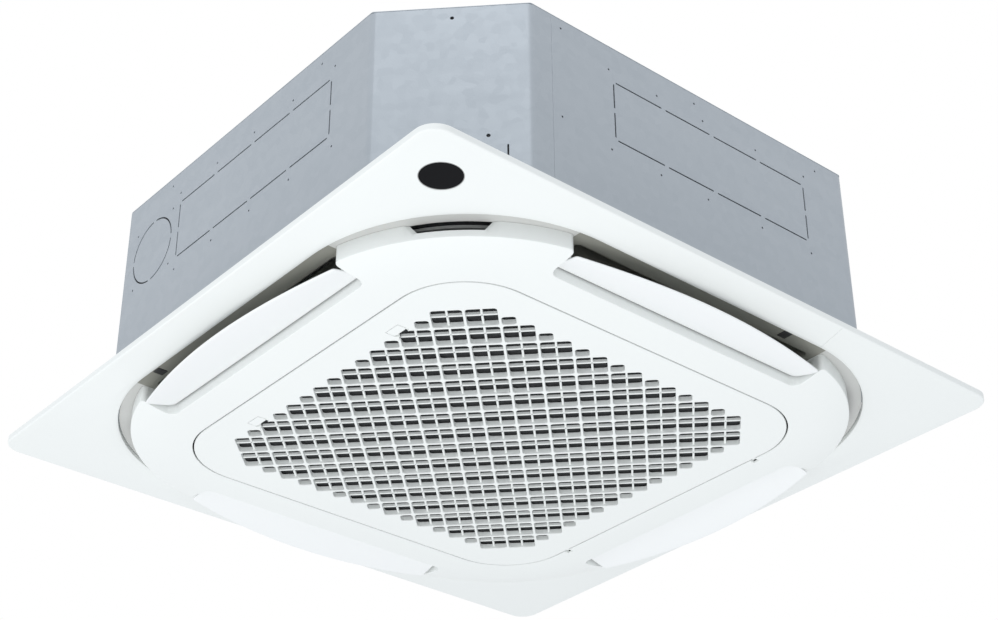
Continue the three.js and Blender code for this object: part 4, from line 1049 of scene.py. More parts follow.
for name, radius, side in (("gas", GAS_R, 1), ("liquid", LIQUID_R, -1)):
    x, y = PIPE_START
    route = eased_path(
        [
            (x, side * y, PIPE_Z), (x + PIPE_BEND, side * (y - 3), PIPE_Z),
            (x + 2 * PIPE_BEND, side * PIPE_SPREAD, PIPE_Z), (PIPE_END, side * PIPE_SPREAD, PIPE_Z),
        ],
        PIPE_BEND,
    )
    pipe = turned_about_z(tube(route, radius), PIPE_CORNER)
    piece(name + "_line", pipe, copper, stands_for=[name + "_pipe"])
    flat = radius * NUT_WIDTH
    at = (PIPE_END - NUT_LENGTH, side * PIPE_SPREAD, PIPE_Z)
    hexagon = turned_about_x([(flat - 1.2, 0), (flat, 1.4), (flat, 14), (flat - 1.2, 15.4)], 6, *at)
    collar = turned_about_x([(flat * 0.8, 15), (flat * 0.8, 22), (flat * 0.74, NUT_LENGTH + 2)], 32, *at)
    nut = turned_about_z(joined(hexagon, collar), PIPE_CORNER)
    piece(name + "_nut", nut, brass, stands_for=[name + "_flare_nut"])

# Where each line passes the plate: its place across, its height, its radius and the sides of its hole.
pipe_exits = [
    (PIPE_SPREAD, PIPE_Z, GAS_R, 28), (-PIPE_SPREAD, PIPE_Z, LIQUID_R, 24), (0, DRAIN_Z, DRAIN_R, 32),
]
cover = formed(
    rounded(rectangle(-COVER_HALF, COVER_HALF, *COVER_Z), 5, 5),
    lambda a, b, depth: Vector((COVER_BACK + SHEET - depth, a, b)),
    soft_edge(0.3, SHEET),
    [circle(y, z, r + 1, sides) for y, z, r, sides in pipe_exits],
    plain_edge(SHEET),
)
piece(
    "pipe_plate",
    turned_about_z(cover, PIPE_CORNER),
    galvanised,
    stands_for=["pipe_cover"],
)
aside, inward = COVER_SCREW_IN
screw_rows = (COVER_Z[0] + inward, COVER_Z[1] - inward)
heads = [
    hex_screw((COVER_BACK + SHEET, s * (COVER_HALF - aside), z), 6, 0.8, 4.2, 3.1, 0.3)
    for s in (-1, 1) for z in screw_rows
]
piece("pipe_plate_screws", turned_about_z(joined(*heads), PIPE_CORNER), bright_steel)

# Rubber grommets close the gap round each pipe where it passes through the plate.
rubber = coated(
    "grommet_rubber",
    grain,
    {"Color": (0.022, 0.022, 0.023), "Handled": (0.04, 0.04, 0.04), "Grain size": 500.0, "Roughness": 0.7},
    relief=0.2,
)
grommets = []
for y, z, r, _ in pipe_exits:
    lip = [
        (r + 0.1, -1.5), (r + 0.1, 2.6), (r + 1, 3), (r + 4, 2.4),
        (r + 4.4, 1.6), (r + 4.4, 1.3), (r + 0.9, 1.2), (r + 0.9, -1.5),
    ]
    grommets.append(ringed([[Vector((COVER_BACK + d, *p)) for p in circle(y, z, q, 32)] for q, d in lip]))
piece("pipe_grommets", turned_about_z(joined(*grommets), PIPE_CORNER), rubber)

socket_at = DRAIN_END - SOCKET_LENGTH
hose_corners = [(PUMP_AT, 0, PUMP_TOP + 0.5), (PUMP_AT, 0, DRAIN_Z), (socket_at, 0, DRAIN_Z)]
hose_path = eased_path(hose_corners, 26, 12)
neck = [(DRAIN_R, 0), (DRAIN_R, 6), (DRAIN_R - 0.8, 7), (DRAIN_R - 0.8, 26), (DRAIN_R - 1.4, 33.6)]
socket = turned_about_x(neck, 40, socket_at, 0, DRAIN_Z)
barb = [(DRAIN_R - 0.9, 0), (DRAIN_R, 0.6), (DRAIN_R - 0.9, 4)]
barbs = [turned_about_x(barb, 40, socket_at + along, 0, DRAIN_Z) for along in (11, 18)]
drain = joined(tube(hose_path, DRAIN_R, 40), socket, *barbs)
piece(
    "drain_socket",
    turned_about_z(drain, PIPE_CORNER),
    hose_plastic,
    stands_for=["drain_outlet"],
)

# ---------------------------------------------------------------- drain pump and float switch
# A small pump of white plastic hangs from a bent steel bracket, with its intake in the sump of the pan.
# Beside it a black float rises on a stem and stops the unit when the water stands too high.

for name in ("drain_pump", "float_guide"):
    dressed(name, hose_plastic, 0.5)
dressed("pump_bracket", galvanised)
dressed("float_switch", black_moulding, 0.4)

# ---------------------------------------------------------------- control box
# A folded steel tray under the bell mouth, closed from below by a flat cover; the board and the
# terminal block are fixed to its top.


def board_pattern():
    """Green lacquer with paler tracks."""
    group, given, at = new_pattern(
        "printed_board",
        {"Color": (0.03, 0.13, 0.06), "Tracks": (0.06, 0.22, 0.10), "Roughness": 0.45},
    )
    tracks = group.nodes.new("ShaderNodeTexBrick")
    tracks.inputs["Scale"].default_value = 90
    tracks.inputs["Mortar Size"].default_value = 0.03
    group.links.new(at, tracks.inputs["Vector"])
    line = tracks.outputs["Fac"]
    rough = varied(group, given["Roughness"], line, 0.15)
    return put_out(group, mixed(group, line, given["Color"], given["Tracks"]), rough, line)


printed_board = coated("green_circuit_board", board_pattern(), {}, relief=0.3, relief_depth=0.0003)
dressed("control_box", galvanised)
dressed("control_cover", galvanised, 0.3)
dressed("control_board", printed_board)
dressed("terminal_block", black_moulding, 0.3)
dressed("receiver_board", printed_board)

# ---------------------------------------------------------------- outer frame of the panel
# One white moulding, 950 mm square: a thin side, a broad flat face and a soft edge that rolls up into the
# rounded opening. A round bore in one corner takes the receiver's window.

PANEL = 475
PANEL_CORNER = 28
RIM = 9
SKIN = 3
MOUTH = 424
MOUTH_CORNER = 240
MOUTH_Z = -11
RIM_ROUND = 2
ROLL_W = 9
ROLL_RISE = 2.6
WINDOW_R = 25.2
WINDOW_AT = 408
WINDOW_FACE = -10.4


def square_ring(half, radius, z, steps=26, side=14):
    """A rounded square ring with evenly shared points, whatever its size."""
    middle = half - radius
    ring = []
    for k in range(4):
        turn = Matrix.Rotation(k * QUARTER, 3, "Z")
        arc = [QUARTER * i / steps for i in range(steps + 1)]
        points = [Vector((middle + radius * math.cos(t), middle + radius * math.sin(t), z)) for t in arc]
        last = points[-1]
        points += [Vector((last.x * (1 - 2 * j / side), last.y, z)) for j in range(1, side)]
        ring += [turn @ p for p in points]
    return ring


panel_white = coated(
    "panel_moulding",
    grain,
    {"Color": (0.86, 0.885, 0.865), "Handled": (0.84, 0.86, 0.845), "Grain size": 1100.0,
     "Roughness": 0.42, "Spread": 0.08},
    relief=0.05,
    relief_depth=0.0002,
    specular=0.4,
)


def cut_by(shape, tools):
    """A shape with tools, each a closed shape, cut out of it."""
    meshes = []
    for part in (shape, tools):
        mesh = bpy.data.meshes.new("cut")
        part.to_mesh(mesh)
        part.free()
        holder = bpy.data.objects.new("cut", mesh)
        bpy.context.scene.collection.objects.link(holder)
        meshes.append(holder)
    blank, tool = meshes
    cut = blank.modifiers.new("cut", "BOOLEAN")
    cut.operation = "DIFFERENCE"
    cut.solver = "EXACT"
    cut.object = tool
    result = bpy.data.meshes.new_from_object(blank.evaluated_get(bpy.context.evaluated_depsgraph_get()))
    made = bmesh.new()
    made.from_mesh(result)
    for holder in meshes:
        mesh = holder.data
        bpy.data.objects.remove(holder)
        bpy.data.meshes.remove(mesh)
    bpy.data.meshes.remove(result)
    return made


def face_z(half):
    """Height of the outer frame's face between its edge and the start of the roll."""
    share = (PANEL - RIM_ROUND - half) / (PANEL - RIM_ROUND - MOUTH - ROLL_W)
    return -RIM + (MOUTH_Z + RIM) * share


# Rings of the moulding's section, each with its half width, corner radius and height: the side, the rounded
# edge, the face, the roll into the opening, and then the inner skin back to the start.
section = [(PANEL, PANEL_CORNER, -0.4), (PANEL, PANEL_CORNER, -3)]
section += [
    (half, PANEL_CORNER - (PANEL - half), z)
    for half, z in quarter_curve(5, (PANEL - RIM_ROUND, -RIM + RIM_ROUND), RIM_ROUND, -RIM_ROUND)
]
for half in (468, 460, 452, 444, 438):
    share = (PANEL - half) / (PANEL - MOUTH)
    section.append((half, PANEL_CORNER - 2 + (MOUTH_CORNER - PANEL_CORNER) * share, face_z(half)))
rolled = quarter_curve(7, (MOUTH + ROLL_W, MOUTH_Z + ROLL_RISE), -ROLL_W, -ROLL_RISE)
for half, z in reversed(rolled):
    share = (PANEL - half) / (PANEL - MOUTH)
    section.append((half, PANEL_CORNER - 2 + (MOUTH_CORNER - PANEL_CORNER + 2) * share, z))
section += [
    (MOUTH, MOUTH_CORNER, -4), (MOUTH, MOUTH_CORNER, -0.3), (MOUTH + 0.3, MOUTH_CORNER, 0),
    (MOUTH + SKIN, MOUTH_CORNER + SKIN, 0), (MOUTH + SKIN, MOUTH_CORNER + SKIN, MOUTH_Z + SKIN + 2),
    (MOUTH + ROLL_W + 2, MOUTH_CORNER - 30, MOUTH_Z + SKIN),
    (PANEL - SKIN, PANEL_CORNER - SKIN, -RIM + SKIN), (PANEL - SKIN, PANEL_CORNER - SKIN, 0),
    (PANEL - 0.4, PANEL_CORNER, 0),
]
shell = ringed([square_ring(*ring) for ring in section])
WINDOW_PLACE = (WINDOW_AT, -WINDOW_AT)
bore = lathe([(WINDOW_R + 1, -20), (WINDOW_R + 1, -1)], 96, WINDOW_PLACE, "cap")

# A fine seam where the corner cover clips on beside the opening.
SEAM_W = 0.5
SEAM_DEPTH = 0.5
SEAM_START = (MOUTH, 190)
SEAM_END = (PANEL + 1, 177.5)


def seam_top(x):
    """How high the cut for the seam reaches: just into the face, the roll or the rounded edge."""
    if x <= MOUTH + ROLL_W:
        return MOUTH_Z + ROLL_RISE
    if x >= PANEL - RIM_ROUND:
        return -RIM + SEAM_DEPTH
    return face_z(x) + SEAM_DEPTH


start, end = Vector((*SEAM_START, 0)), Vector((*SEAM_END, 0))
across = (end - start).normalized().cross(Vector((0, 0, 1))) * SEAM_W / 2
rings = []
for t in (0, 0.2, 0.5, 0.94, 0.96, 1):
    here = start.lerp(end, t)
    low, high = Vector((0, 0, -14)), Vector((0, 0, seam_top(here.x)))
    rings.append([here + across + low, here - across + low, here - across + high, here + across + high])
frame_shell = cut_by(cut_by(shell, bore), ringed(rings, "cap"))
piece("panel_frame", frame_shell, panel_white, stands_for=["outer_frame"])

# The receiver looks out through a smoked window, with a grey ring round it.
smoked = coated(
    "smoked_window",
    grain,
    {"Color": (0.008, 0.008, 0.009), "Handled": (0.012, 0.012, 0.013), "Grain size": 300.0,
     "Roughness": 0.2, "Spread": 0.06},
    relief=0.02,
    specular=0.03,
)
window = lathe(
    [
        (WINDOW_R, WINDOW_FACE + 3), (WINDOW_R, WINDOW_FACE + 0.8),
        (WINDOW_R - 0.25, WINDOW_FACE + 0.25), (WINDOW_R - 0.8, WINDOW_FACE),
    ],
    96,
    WINDOW_PLACE,
    "cap",
)
piece("receiver_lens", window, smoked, stands_for=["receiver_window"])
grey_plastic = coated(
    "grey_plastic",
    grain,
    {"Color": (0.40, 0.405, 0.395), "Handled": (0.34, 0.345, 0.335), "Roughness": 0.5},
    relief=0.1,
)
BEZEL_FACE = -10.05
BEZEL_BACK = -6
bezel_in, bezel_out = WINDOW_R + 0.1, WINDOW_R + 0.95
bezel = lathe(
    [(bezel_in, BEZEL_FACE), (bezel_out, BEZEL_FACE), (bezel_out, BEZEL_BACK), (bezel_in, BEZEL_BACK)],
    96,
    WINDOW_PLACE,
)
piece("receiver_ring", bezel, grey_plastic)

# ---------------------------------------------------------------- inner frame
# A white moulding round the grille. Its face is level at the grille and curves up to its edge; a recess
# with rounded corners is let into each side for a vane, and walls stand behind every edge.

LOBE = 416
LOBE_CORNER = 260
SEAM_HALF = 312
SEAM_CORNER = 100
FACE = -35
LOBE_RISE = 9
DECK_UNDER = -4
RECESS_HALF = 210
RECESS_INNER = 362
RECESS_CORNER = 12
TIP_ROUND = 6
HINGE_X = 190
NOTCH_HALF = 4.6
NOTCH_END = 320.4
SEAM_EASE = [(0.9, 0), (0.35, 0.15), (0, 0.8)]


def ring_gap(x, y, half, radius):
    """How far a point lies outside a rounded square."""
    dx, dy = abs(x) - (half - radius), abs(y) - (half - radius)
    outside = math.hypot(max(dx, 0), max(dy, 0)) + min(max(dx, dy), 0)
    return outside - radius


def ring_at(t):
    """Half width and corner radius of the ring a share t of the way from the seam to the edge."""
    return SEAM_HALF + (LOBE - SEAM_HALF) * t, SEAM_CORNER + (LOBE_CORNER - SEAM_CORNER) * t


def lobe_share(x, y):
    """0 at the seam round the grille and 1 at the inner frame's edge."""
    low, high = 0.0, 1.2
    for _ in range(24):
        t = (low + high) / 2
        low, high = (t, high) if ring_gap(x, y, *ring_at(t)) > 0 else (low, t)
    return (low + high) / 2


def on_inner_frame(a, b, depth):
    """The face follows the curve; a wall deeper than the deck stops there."""
    height = FACE + LOBE_RISE * min(lobe_share(a, b), 1.1) ** 3
    return Vector((a, b, min(height + depth, DECK_UNDER)))


def corner_arc(half, radius, start, end, steps):
    """Points of a rounded square's corner at +X, -Y, between two angles."""
    middle = half - radius
    angles = [start + (end - start) * i / steps for i in range(steps + 1)]
    return [Vector((middle + radius * math.cos(t), -middle + radius * math.sin(t))) for t in angles]


# The corner's arc is cut by the recess walls on both sides of it.
tip_angle = math.acos((RECESS_HALF - (LOBE - LOBE_CORNER)) / LOBE_CORNER)
quarter_plan = [Vector((-RECESS_HALF, -RECESS_INNER)), Vector((RECESS_HALF, -RECESS_INNER))]
plan_radii = [RECESS_CORNER, RECESS_CORNER]
lobe_arc = corner_arc(LOBE, LOBE_CORNER, -tip_angle, -(QUARTER - tip_angle), 40)
quarter_plan += lobe_arc[:1] + lobe_arc[2:-2] + lobe_arc[-1:]
plan_radii += [TIP_ROUND] + [0] * (len(lobe_arc) - 4) + [TIP_ROUND]
plan = [Matrix.Rotation(k * QUARTER, 2) @ p for k in range(4) for p in quarter_plan]


def spaced(loop, step):
    """A closed loop with extra points so that none lie further apart than step."""
    out = []
    for i, here in enumerate(loop):
        on = loop[(i + 1) % len(loop)]
        count = max(1, math.ceil((on - here).length / step))
        out += [here.lerp(on, k / count) for k in range(count)]
    return out


def inside(loop, p):
    """Whether a point lies in a closed loop."""
    found = False
    for i, b in enumerate(loop):
        a = loop[i - 1]
        if (a.y > p.y) != (b.y > p.y) and p.x < (b.x - a.x) * (p.y - a.y) / (b.y - a.y) + a.x:
            found = not found
    return found


def flat_ring(half, radius, steps, side):
    """A rounded square as a flat outline."""
    return [p.xy for p in square_ring(half, radius, 0, steps, side)]


def in_notch(p, margin):
    """Whether a point lies in a notch for one of the grille's arms, widened by a margin."""
    beside = any(abs(p.x - x) < NOTCH_HALF + margin for x in (HINGE_X, -HINGE_X))
    return beside and 0 < p.y < NOTCH_END + margin


# The +Y side of the seam runs towards -X; a notch there lets each arm of the grille swing down.
seam_ring = flat_ring(SEAM_HALF, SEAM_CORNER, 24, 16)
seam_loop = []
for i, here in enumerate(seam_ring):
    on = seam_ring[(i + 1) % len(seam_ring)]
    if not in_notch(here, -0.01):
        seam_loop.append(here)
    for x in (HINGE_X, -HINGE_X):
        if min(here.y, on.y) > SEAM_HALF - 1 and here.x > x >= on.x:
            way_round = ((1, SEAM_HALF), (1, NOTCH_END), (-1, NOTCH_END), (-1, SEAM_HALF))
            seam_loop += [Vector((x + s * NOTCH_HALF, y)) for s, y in way_round]

# Lines across the face, where it is given the points that follow its curve.
inner_plan = spaced(rounded(plan, plan_radii * 4, 6), 12)
guard = shifted(inner_plan, 4)
contours = []
for t in (0.2, 0.35, 0.48, 0.6, 0.7, 0.8, 0.88, 0.95):
    ring = flat_ring(*ring_at(t), 24, 16)
    run = []
    for p in ring + ring[:1]:
        if inside(guard, p) and not in_notch(p, 3):
            run.append(p)
            continue
        contours.append(run)
        run = []
    contours.append(run)
contours = [run for run in contours if len(run) > 1]
TO_DECK = 60
inner_shell = formed(
    inner_plan,
    on_inner_frame,
    [(0.9, 0), (0.45, 0.1), (0.15, 0.35), (0, 0.9), (0, 3), (0, TO_DECK), (SKIN, TO_DECK), (SKIN, SKIN)],
    [seam_loop],
    [*SEAM_EASE, (0, SKIN)],
    contours,
)
# In each corner's wall a notch with slanted ends lets out a little air. It is cut with a curved block whose
# half angle is given for each of its four edges.
LOBE_MIDDLE = LOBE - LOBE_CORNER
NOTCH_LOW = -17
NOTCH_EDGES = [
    (LOBE_CORNER + 1.5, DECK_UNDER + 0.5, 12.9), (LOBE_CORNER - SKIN - 1, DECK_UNDER + 0.5, 10.2),
    (LOBE_CORNER - SKIN - 1, NOTCH_LOW, 7.7), (LOBE_CORNER + 1.5, NOTCH_LOW, 10.4),
]


def on_lobe(radius, angle, z):
    """A point about the middle of the lobe at +X, -Y, its angle in degrees off the diagonal."""
    turn = math.radians(angle) - QUARTER / 2
    return Vector((LOBE_MIDDLE + radius * math.cos(turn), -LOBE_MIDDLE + radius * math.sin(turn), z))


def lobe_block(section):
    """A block curved with the lobe; each corner of its section has a radius, a height and a half angle."""
    return ringed([[on_lobe(r, half * i / 8, z) for r, z, half in section] for i in range(-8, 9)], "cap")


def on_four_sides(shapes):
    """Four shapes, drawn at -Y or at the corner beside it, turned to their sides and joined."""
    return joined(*[turned_about_z(shape, k * QUARTER) for k, shape in enumerate(shapes)])


inner_shell = cut_by(inner_shell, on_four_sides([lobe_block(NOTCH_EDGES) for _ in range(4)]))
piece("vane_frame", inner_shell, panel_white, stands_for=["inner_frame"])

# Each arm of the grille turns on a steel pin held between two ears behind the seam.
HINGE_Y = 317.5
HINGE_Z = -29
KNUCKLE_R = 2.4
EAR_W = 5
ARM_W = 8


def drawn_along_x(outline, x0, x1):
    """A section of (y, z) drawn from one x to another."""
    return ringed([[Vector((x, y, z)) for y, z in outline] for x in (x0, x1)], "cap")


def lug(x0, x1, y, z, radius, foot):
    """A rounded lug: half round over the axis at y, z, and closed by the two points of its foot."""
    half_turn = [math.pi * i / 12 for i in range(13)]
    arch = [(y + radius * math.cos(t), z + radius * math.sin(t)) for t in half_turn]
    return drawn_along_x(arch + foot, x0, x1)


ear_foot = [(HINGE_Y + s * KNUCKLE_R, FACE + SKIN - 0.5) for s in (-1, 1)]
ears = []
for side in (-1, 1):
    for end in (-1, 1):
        middle = side * HINGE_X + end * (ARM_W + EAR_W + 1) / 2
        ears.append(lug(middle - EAR_W / 2, middle + EAR_W / 2, HINGE_Y, HINGE_Z, KNUCKLE_R, ear_foot))
piece("hinge_ears", joined(*ears), panel_white)
for name in ("hinge_pin_left", "hinge_pin_right"):
    dressed(name, bright_steel)

# ---------------------------------------------------------------- deck, seal and outlets
# A grey plate closes the channel between the two frames above; a foam seal lies on it. A duct liner passes
# each of its four long openings; its olive grey is painted shade. A slot in each corner feeds a pocket
# behind the notch in the wall; the pocket's black is painted shade.

DECK_TOP = -0.3
DECK_LOW = -3.7
DECK_THICK = DECK_TOP - DECK_LOW
DECK_OUTER = 422.8
DECK_OUTER_CORNER = 238.8
DECK_INNER = 330
DECK_INNER_CORNER = 100
THROAT = (-200, 200, -400, -362.3)
SLOT_RADII = (206, 218)
SLOT_ANGLE = math.radians(14.3)
SLOT_MIDDLE = 184


def slot_outline(half_angle, inner, outer, steps=14):
    """A curved slot in the corner at +X, -Y, between two radii."""
    turns = [-QUARTER / 2 + half_angle * (2 * i / steps - 1) for i in range(steps + 1)]
    ring = [(outer, t) for t in turns] + [(inner, t) for t in reversed(turns)]
    return [Vector((SLOT_MIDDLE + r * math.cos(t), -SLOT_MIDDLE + r * math.sin(t))) for r, t in ring]


def four_times(points):
    return [[Matrix.Rotation(k * QUARTER, 2) @ Vector(p) for p in points] for k in range(4)]


deck_plastic = coated(
    "deck_moulding",
    grain,
    {"Color": (0.60, 0.605, 0.585), "Handled": (0.54, 0.545, 0.525), "Roughness": 0.5},
    relief=0.1,
)
deck = formed(
    flat_ring(DECK_OUTER, DECK_OUTER_CORNER, 24, 6),
    level(DECK_LOW),
    soft_edge(0.3, DECK_THICK),
    [
        flat_ring(DECK_INNER, DECK_INNER_CORNER, 12, 6),
        *four_times(rounded(rectangle(*THROAT), 10, 5)),
        *four_times(slot_outline(SLOT_ANGLE, *SLOT_RADII)),
    ],
    soft_edge(0.4, DECK_THICK),
)
piece("channel_deck", deck, deck_plastic, stands_for=["panel_deck"])
dressed("panel_seal", dark_foam)

# The liner is a thin sleeve through the deck, with a flange over the floor of the recess. Its olive grey is
# painted shade, the shaded duct wall seen past the vane.
LINER_TOP = 30
LINER_LOW = DECK_LOW - 0.45
LINER_GAP = 1
LINER_WALL = 1.5
BRIM_THICK = 0.4
# Painted shade: this olive grey stands for the shaded wall of the duct.
liner_shade_paint = coated(
    "outlet_shade_liner",
    grain,
    {"Color": (0.29, 0.29, 0.255), "Handled": (0.25, 0.25, 0.22), "Grain size": 700.0, "Roughness": 0.6},
    relief=0.1,
    specular=0.3,
)


def outlet_shade_liner():
    """The liner of the outlet at -Y: the sleeve and its brim."""
    left, right, out, inward = THROAT
    height = LINER_TOP - LINER_LOW
    outline = rounded(
        rectangle(left + LINER_GAP, right - LINER_GAP, out + LINER_GAP, inward - LINER_GAP), 9, 5
    )
    sleeve = formed(
        outline,
        level(LINER_LOW),
        [(0, 0), (0, height - 0.3), (0.3, height)],
        [shifted(outline, LINER_WALL)],
        soft_edge(0.4, height),
    )
    brim = formed(
        rounded(rectangle(-RECESS_HALF + 0.3, RECESS_HALF - 0.3, -MOUTH + 0.4, inward - 0.3), 4, 4),
        level(LINER_LOW),
        soft_edge(0.1, BRIM_THICK),
        [shifted(outline, LINER_WALL / 2)],
        plain_edge(BRIM_THICK),
    )
    return joined(sleeve, brim)


liners = on_four_sides([outlet_shade_liner() for _ in range(4)])
piece("outlet_shade_liners", liners, liner_shade_paint)

# Small black squares lie on each brim, near the end of the vane; their black is painted shade, standing for
# dark openings there.
SHADE_SQUARE_HALF = 7
SHADE_SQUARE_ACROSS = (THROAT[2] - MOUTH) / 2  # midway over the outer part of the brim


def shade_square(along):
    sides = (along - SHADE_SQUARE_HALF, along + SHADE_SQUARE_HALF, SHADE_SQUARE_ACROSS - SHADE_SQUARE_HALF, SHADE_SQUARE_ACROSS + SHADE_SQUARE_HALF)
    return formed(rounded(rectangle(*sides), 1, 3), level(DECK_LOW - 1.2), soft_edge(0.3, 0.75))


shade_squares = on_four_sides([shade_square(along) for along in (-165, 140, -140, 165)])
# Painted shade: these black squares stand for the dark of openings.
piece("painted_shade_squares", shade_squares, black_moulding)

# Behind each notch stands a pocket: a trough with an end plate on either side, and a hood over the slot
# above it. Its black is painted shade, so that the notch and the slot read as dark openings.
POCKET_OUT = LOBE_CORNER - SKIN - 0.1
POCKET_IN = 242
POCKET_ANGLE = 13.3
POCKET_WALL = 1.2
WELL_TOP = 5.8
WELL_WALL = 0.8


def corner_shade_pocket():
    low, high = NOTCH_LOW - 2, DECK_LOW - 0.1
    trough = [
        (POCKET_OUT, low), (POCKET_OUT, low + POCKET_WALL), (POCKET_IN + POCKET_WALL, low + POCKET_WALL),
        (POCKET_IN + POCKET_WALL, high), (POCKET_IN, high), (POCKET_IN, low),
    ]
    parts = [lobe_block([(r, z, POCKET_ANGLE) for r, z in trough])]
    plate = [(POCKET_OUT, low), (POCKET_OUT, high), (POCKET_IN, high), (POCKET_IN, low)]
    for end in (-1, 1):
        faces = (end * POCKET_ANGLE, end * (POCKET_ANGLE + 0.25))
        parts.append(ringed([[on_lobe(r, angle, z) for r, z in plate] for angle in faces], "cap"))
    mouth = slot_outline(SLOT_ANGLE, SLOT_RADII[0] - 0.1, SLOT_RADII[1] + 0.1)
    outer, inner = shifted(mouth, 0.2), shifted(mouth, 0.2 + WELL_WALL)
    hood = [(outer, DECK_TOP), (outer, WELL_TOP), (inner, WELL_TOP), (inner, DECK_TOP)]
    parts.append(ringed([[Vector((p.x, p.y, z)) for p in ring] for ring, z in hood]))
    parts.append(formed(mouth, level(WELL_TOP - WELL_WALL), [(0.3, 0), (0.3, WELL_WALL)]))
    return joined(*parts)


pockets = on_four_sides([corner_shade_pocket() for _ in range(4)])
# Painted shade: the black moulding here stands for the dark inside of the openings.
piece("corner_shade_pockets", pockets, black_moulding)

# ---------------------------------------------------------------- vanes
# Four long white vanes, each cambered across and bowed along its outer edge. A pin at each end sits in
# the wall of its recess, and a small stepper motor beside one end turns it.

VANE_HALF = 206.5
VANE_INNER = 368.2
VANE_CHORD = 71
VANE_BOW = 28
VANE_CAMBER = 1.5
VANE_INNER_Z = -30.1
VANE_RISE = 12.52
VANE_AXIS = (390, -15)
VANE_OPEN = math.radians(24)
PIN_R = 4
PIN_END = 212.5

vane_white = coated(
    "vane_moulding",
    grain,
    {"Color": (0.885, 0.90, 0.895), "Handled": (0.865, 0.88, 0.875), "Grain size": 1100.0,
     "Roughness": 0.34, "Spread": 0.06},
    relief=0.04,
    relief_depth=0.0002,
    specular=0.45,
)


def on_vane(a, b, depth):
    """The vane lies rising outwards, with a camber across it."""
    share = (-VANE_INNER - b) / VANE_CHORD
    camber = VANE_CAMBER * 4 * share * (1 - share)
    return Vector((a, b, VANE_INNER_Z + VANE_RISE * share - camber + depth))


outer_edge = []
for i in range(-20, 21):
    t = i / 20
    outer_edge.append((VANE_HALF * t, -VANE_INNER - VANE_CHORD + VANE_BOW * t * t))
vane_plan = rounded(
    outer_edge + [(VANE_HALF, -VANE_INNER), (-VANE_HALF, -VANE_INNER)],
    [5] + [0] * (len(outer_edge) - 2) + [5, 9, 9],
    6,
)
vane_plan = spaced(vane_plan, 12)
clear_plan = shifted(vane_plan, 3)
vane_lines = []
for j in range(1, 12):
    y = -VANE_INNER - VANE_CHORD * j / 12
    row = [Vector((VANE_HALF * i / 24, y)) for i in range(-24, 25)]
    row = [p for p in row if inside(clear_plan, p)]
    if len(row) > 1:
        vane_lines.append(row)
VANE_EDGE = [(1.3, 0), (0.65, 0.18), (0.2, 0.65), (0, 1.3), (0, 1.8), (0.3, 2.5), (1, 3)]


def vane_blade():
    """The vane at -Y with its two pins; each pin's arm is moulded onto the back of the vane."""
    parts = [formed(vane_plan, on_vane, VANE_EDGE, lines=vane_lines)]
    y, z = -VANE_AXIS[0], VANE_AXIS[1]
    back = on_vane(0, y, 1).z
    arm_foot = [(y - PIN_R - 3, back), (y + PIN_R + 3, back - 1)]
    for end in (-1, 1):
        low, high = sorted((end * (VANE_HALF - 4), end * PIN_END))
        parts.append(turned_about_x([(PIN_R, 0), (PIN_R, high - low)], 28, low, y, z))
        arm = sorted((end * (VANE_HALF - 4), end * (VANE_HALF - 0.5)))
        parts.append(lug(*arm, y, z, PIN_R, arm_foot))
    whole = joined(*parts)
    opened = Matrix.Rotation(VANE_OPEN, 3, "X")
    bmesh.ops.rotate(whole, verts=whole.verts, cent=Vector((0, y, z)) * MM, matrix=opened)
    return whole


motor_steel = coated(
    "plated_motor_can",
    grain,
    {"Color": (0.50, 0.51, 0.53), "Handled": (0.40, 0.41, 0.43), "Roughness": 0.35, "Spread": 0.15},
    metallic=0.85,
    relief=0.06,
)
for k, side in enumerate(("front", "right", "back", "left")):
    made = turned_about_z(vane_blade(), k * QUARTER)
    piece(side + "_louvre", made, vane_white, side + "_vane", ["vane_" + side], 40)
    dressed("stepper_" + side, motor_steel, 0.4)

# ---------------------------------------------------------------- intake grille
# A white moulding with a diagonal lattice of square openings, each crossed by a finer lattice behind.
# It hangs on two arms at +Y and is held at -Y by two sliding latches whose tabs show in its face.

GRILLE_HALF = 310
GRILLE_CORNER = 98
GRILLE_SKIN = 2.5
GRILLE_DEEP = 8
FIELD_HALF = 271.2
PITCH = 42.3
LATTICE_RIB = 3.4
ROWS = 8
CELL_ROUND = 4.2
CROSS_W = 2.8
CROSS_SUNK = 3.7
SKIRT_HALF = 296
SKIRT_CORNER = 84
SKIRT_WALL = 2
LATCH_X = 149.55
LATCH_HALF = 12
LATCH_GAP = 0.5
TAB_Y = (-277, -263.5)
LATCH_TRAVEL = 4
LATCH_LOW = FACE + GRILLE_SKIN + 0.3
LATCH_THICK = 3
ROOM_Y = (TAB_Y[0] - LATCH_GAP, TAB_Y[1] + LATCH_TRAVEL + LATCH_GAP)  # the window round a tab
ROOM_HALF = LATCH_HALF + LATCH_GAP
DIAGONAL = math.sqrt(2)


def on_diagonal(u, v):
    """A point given along the two directions of the lattice."""
    return Vector(((u - v) / DIAGONAL, (u + v) / DIAGONAL))


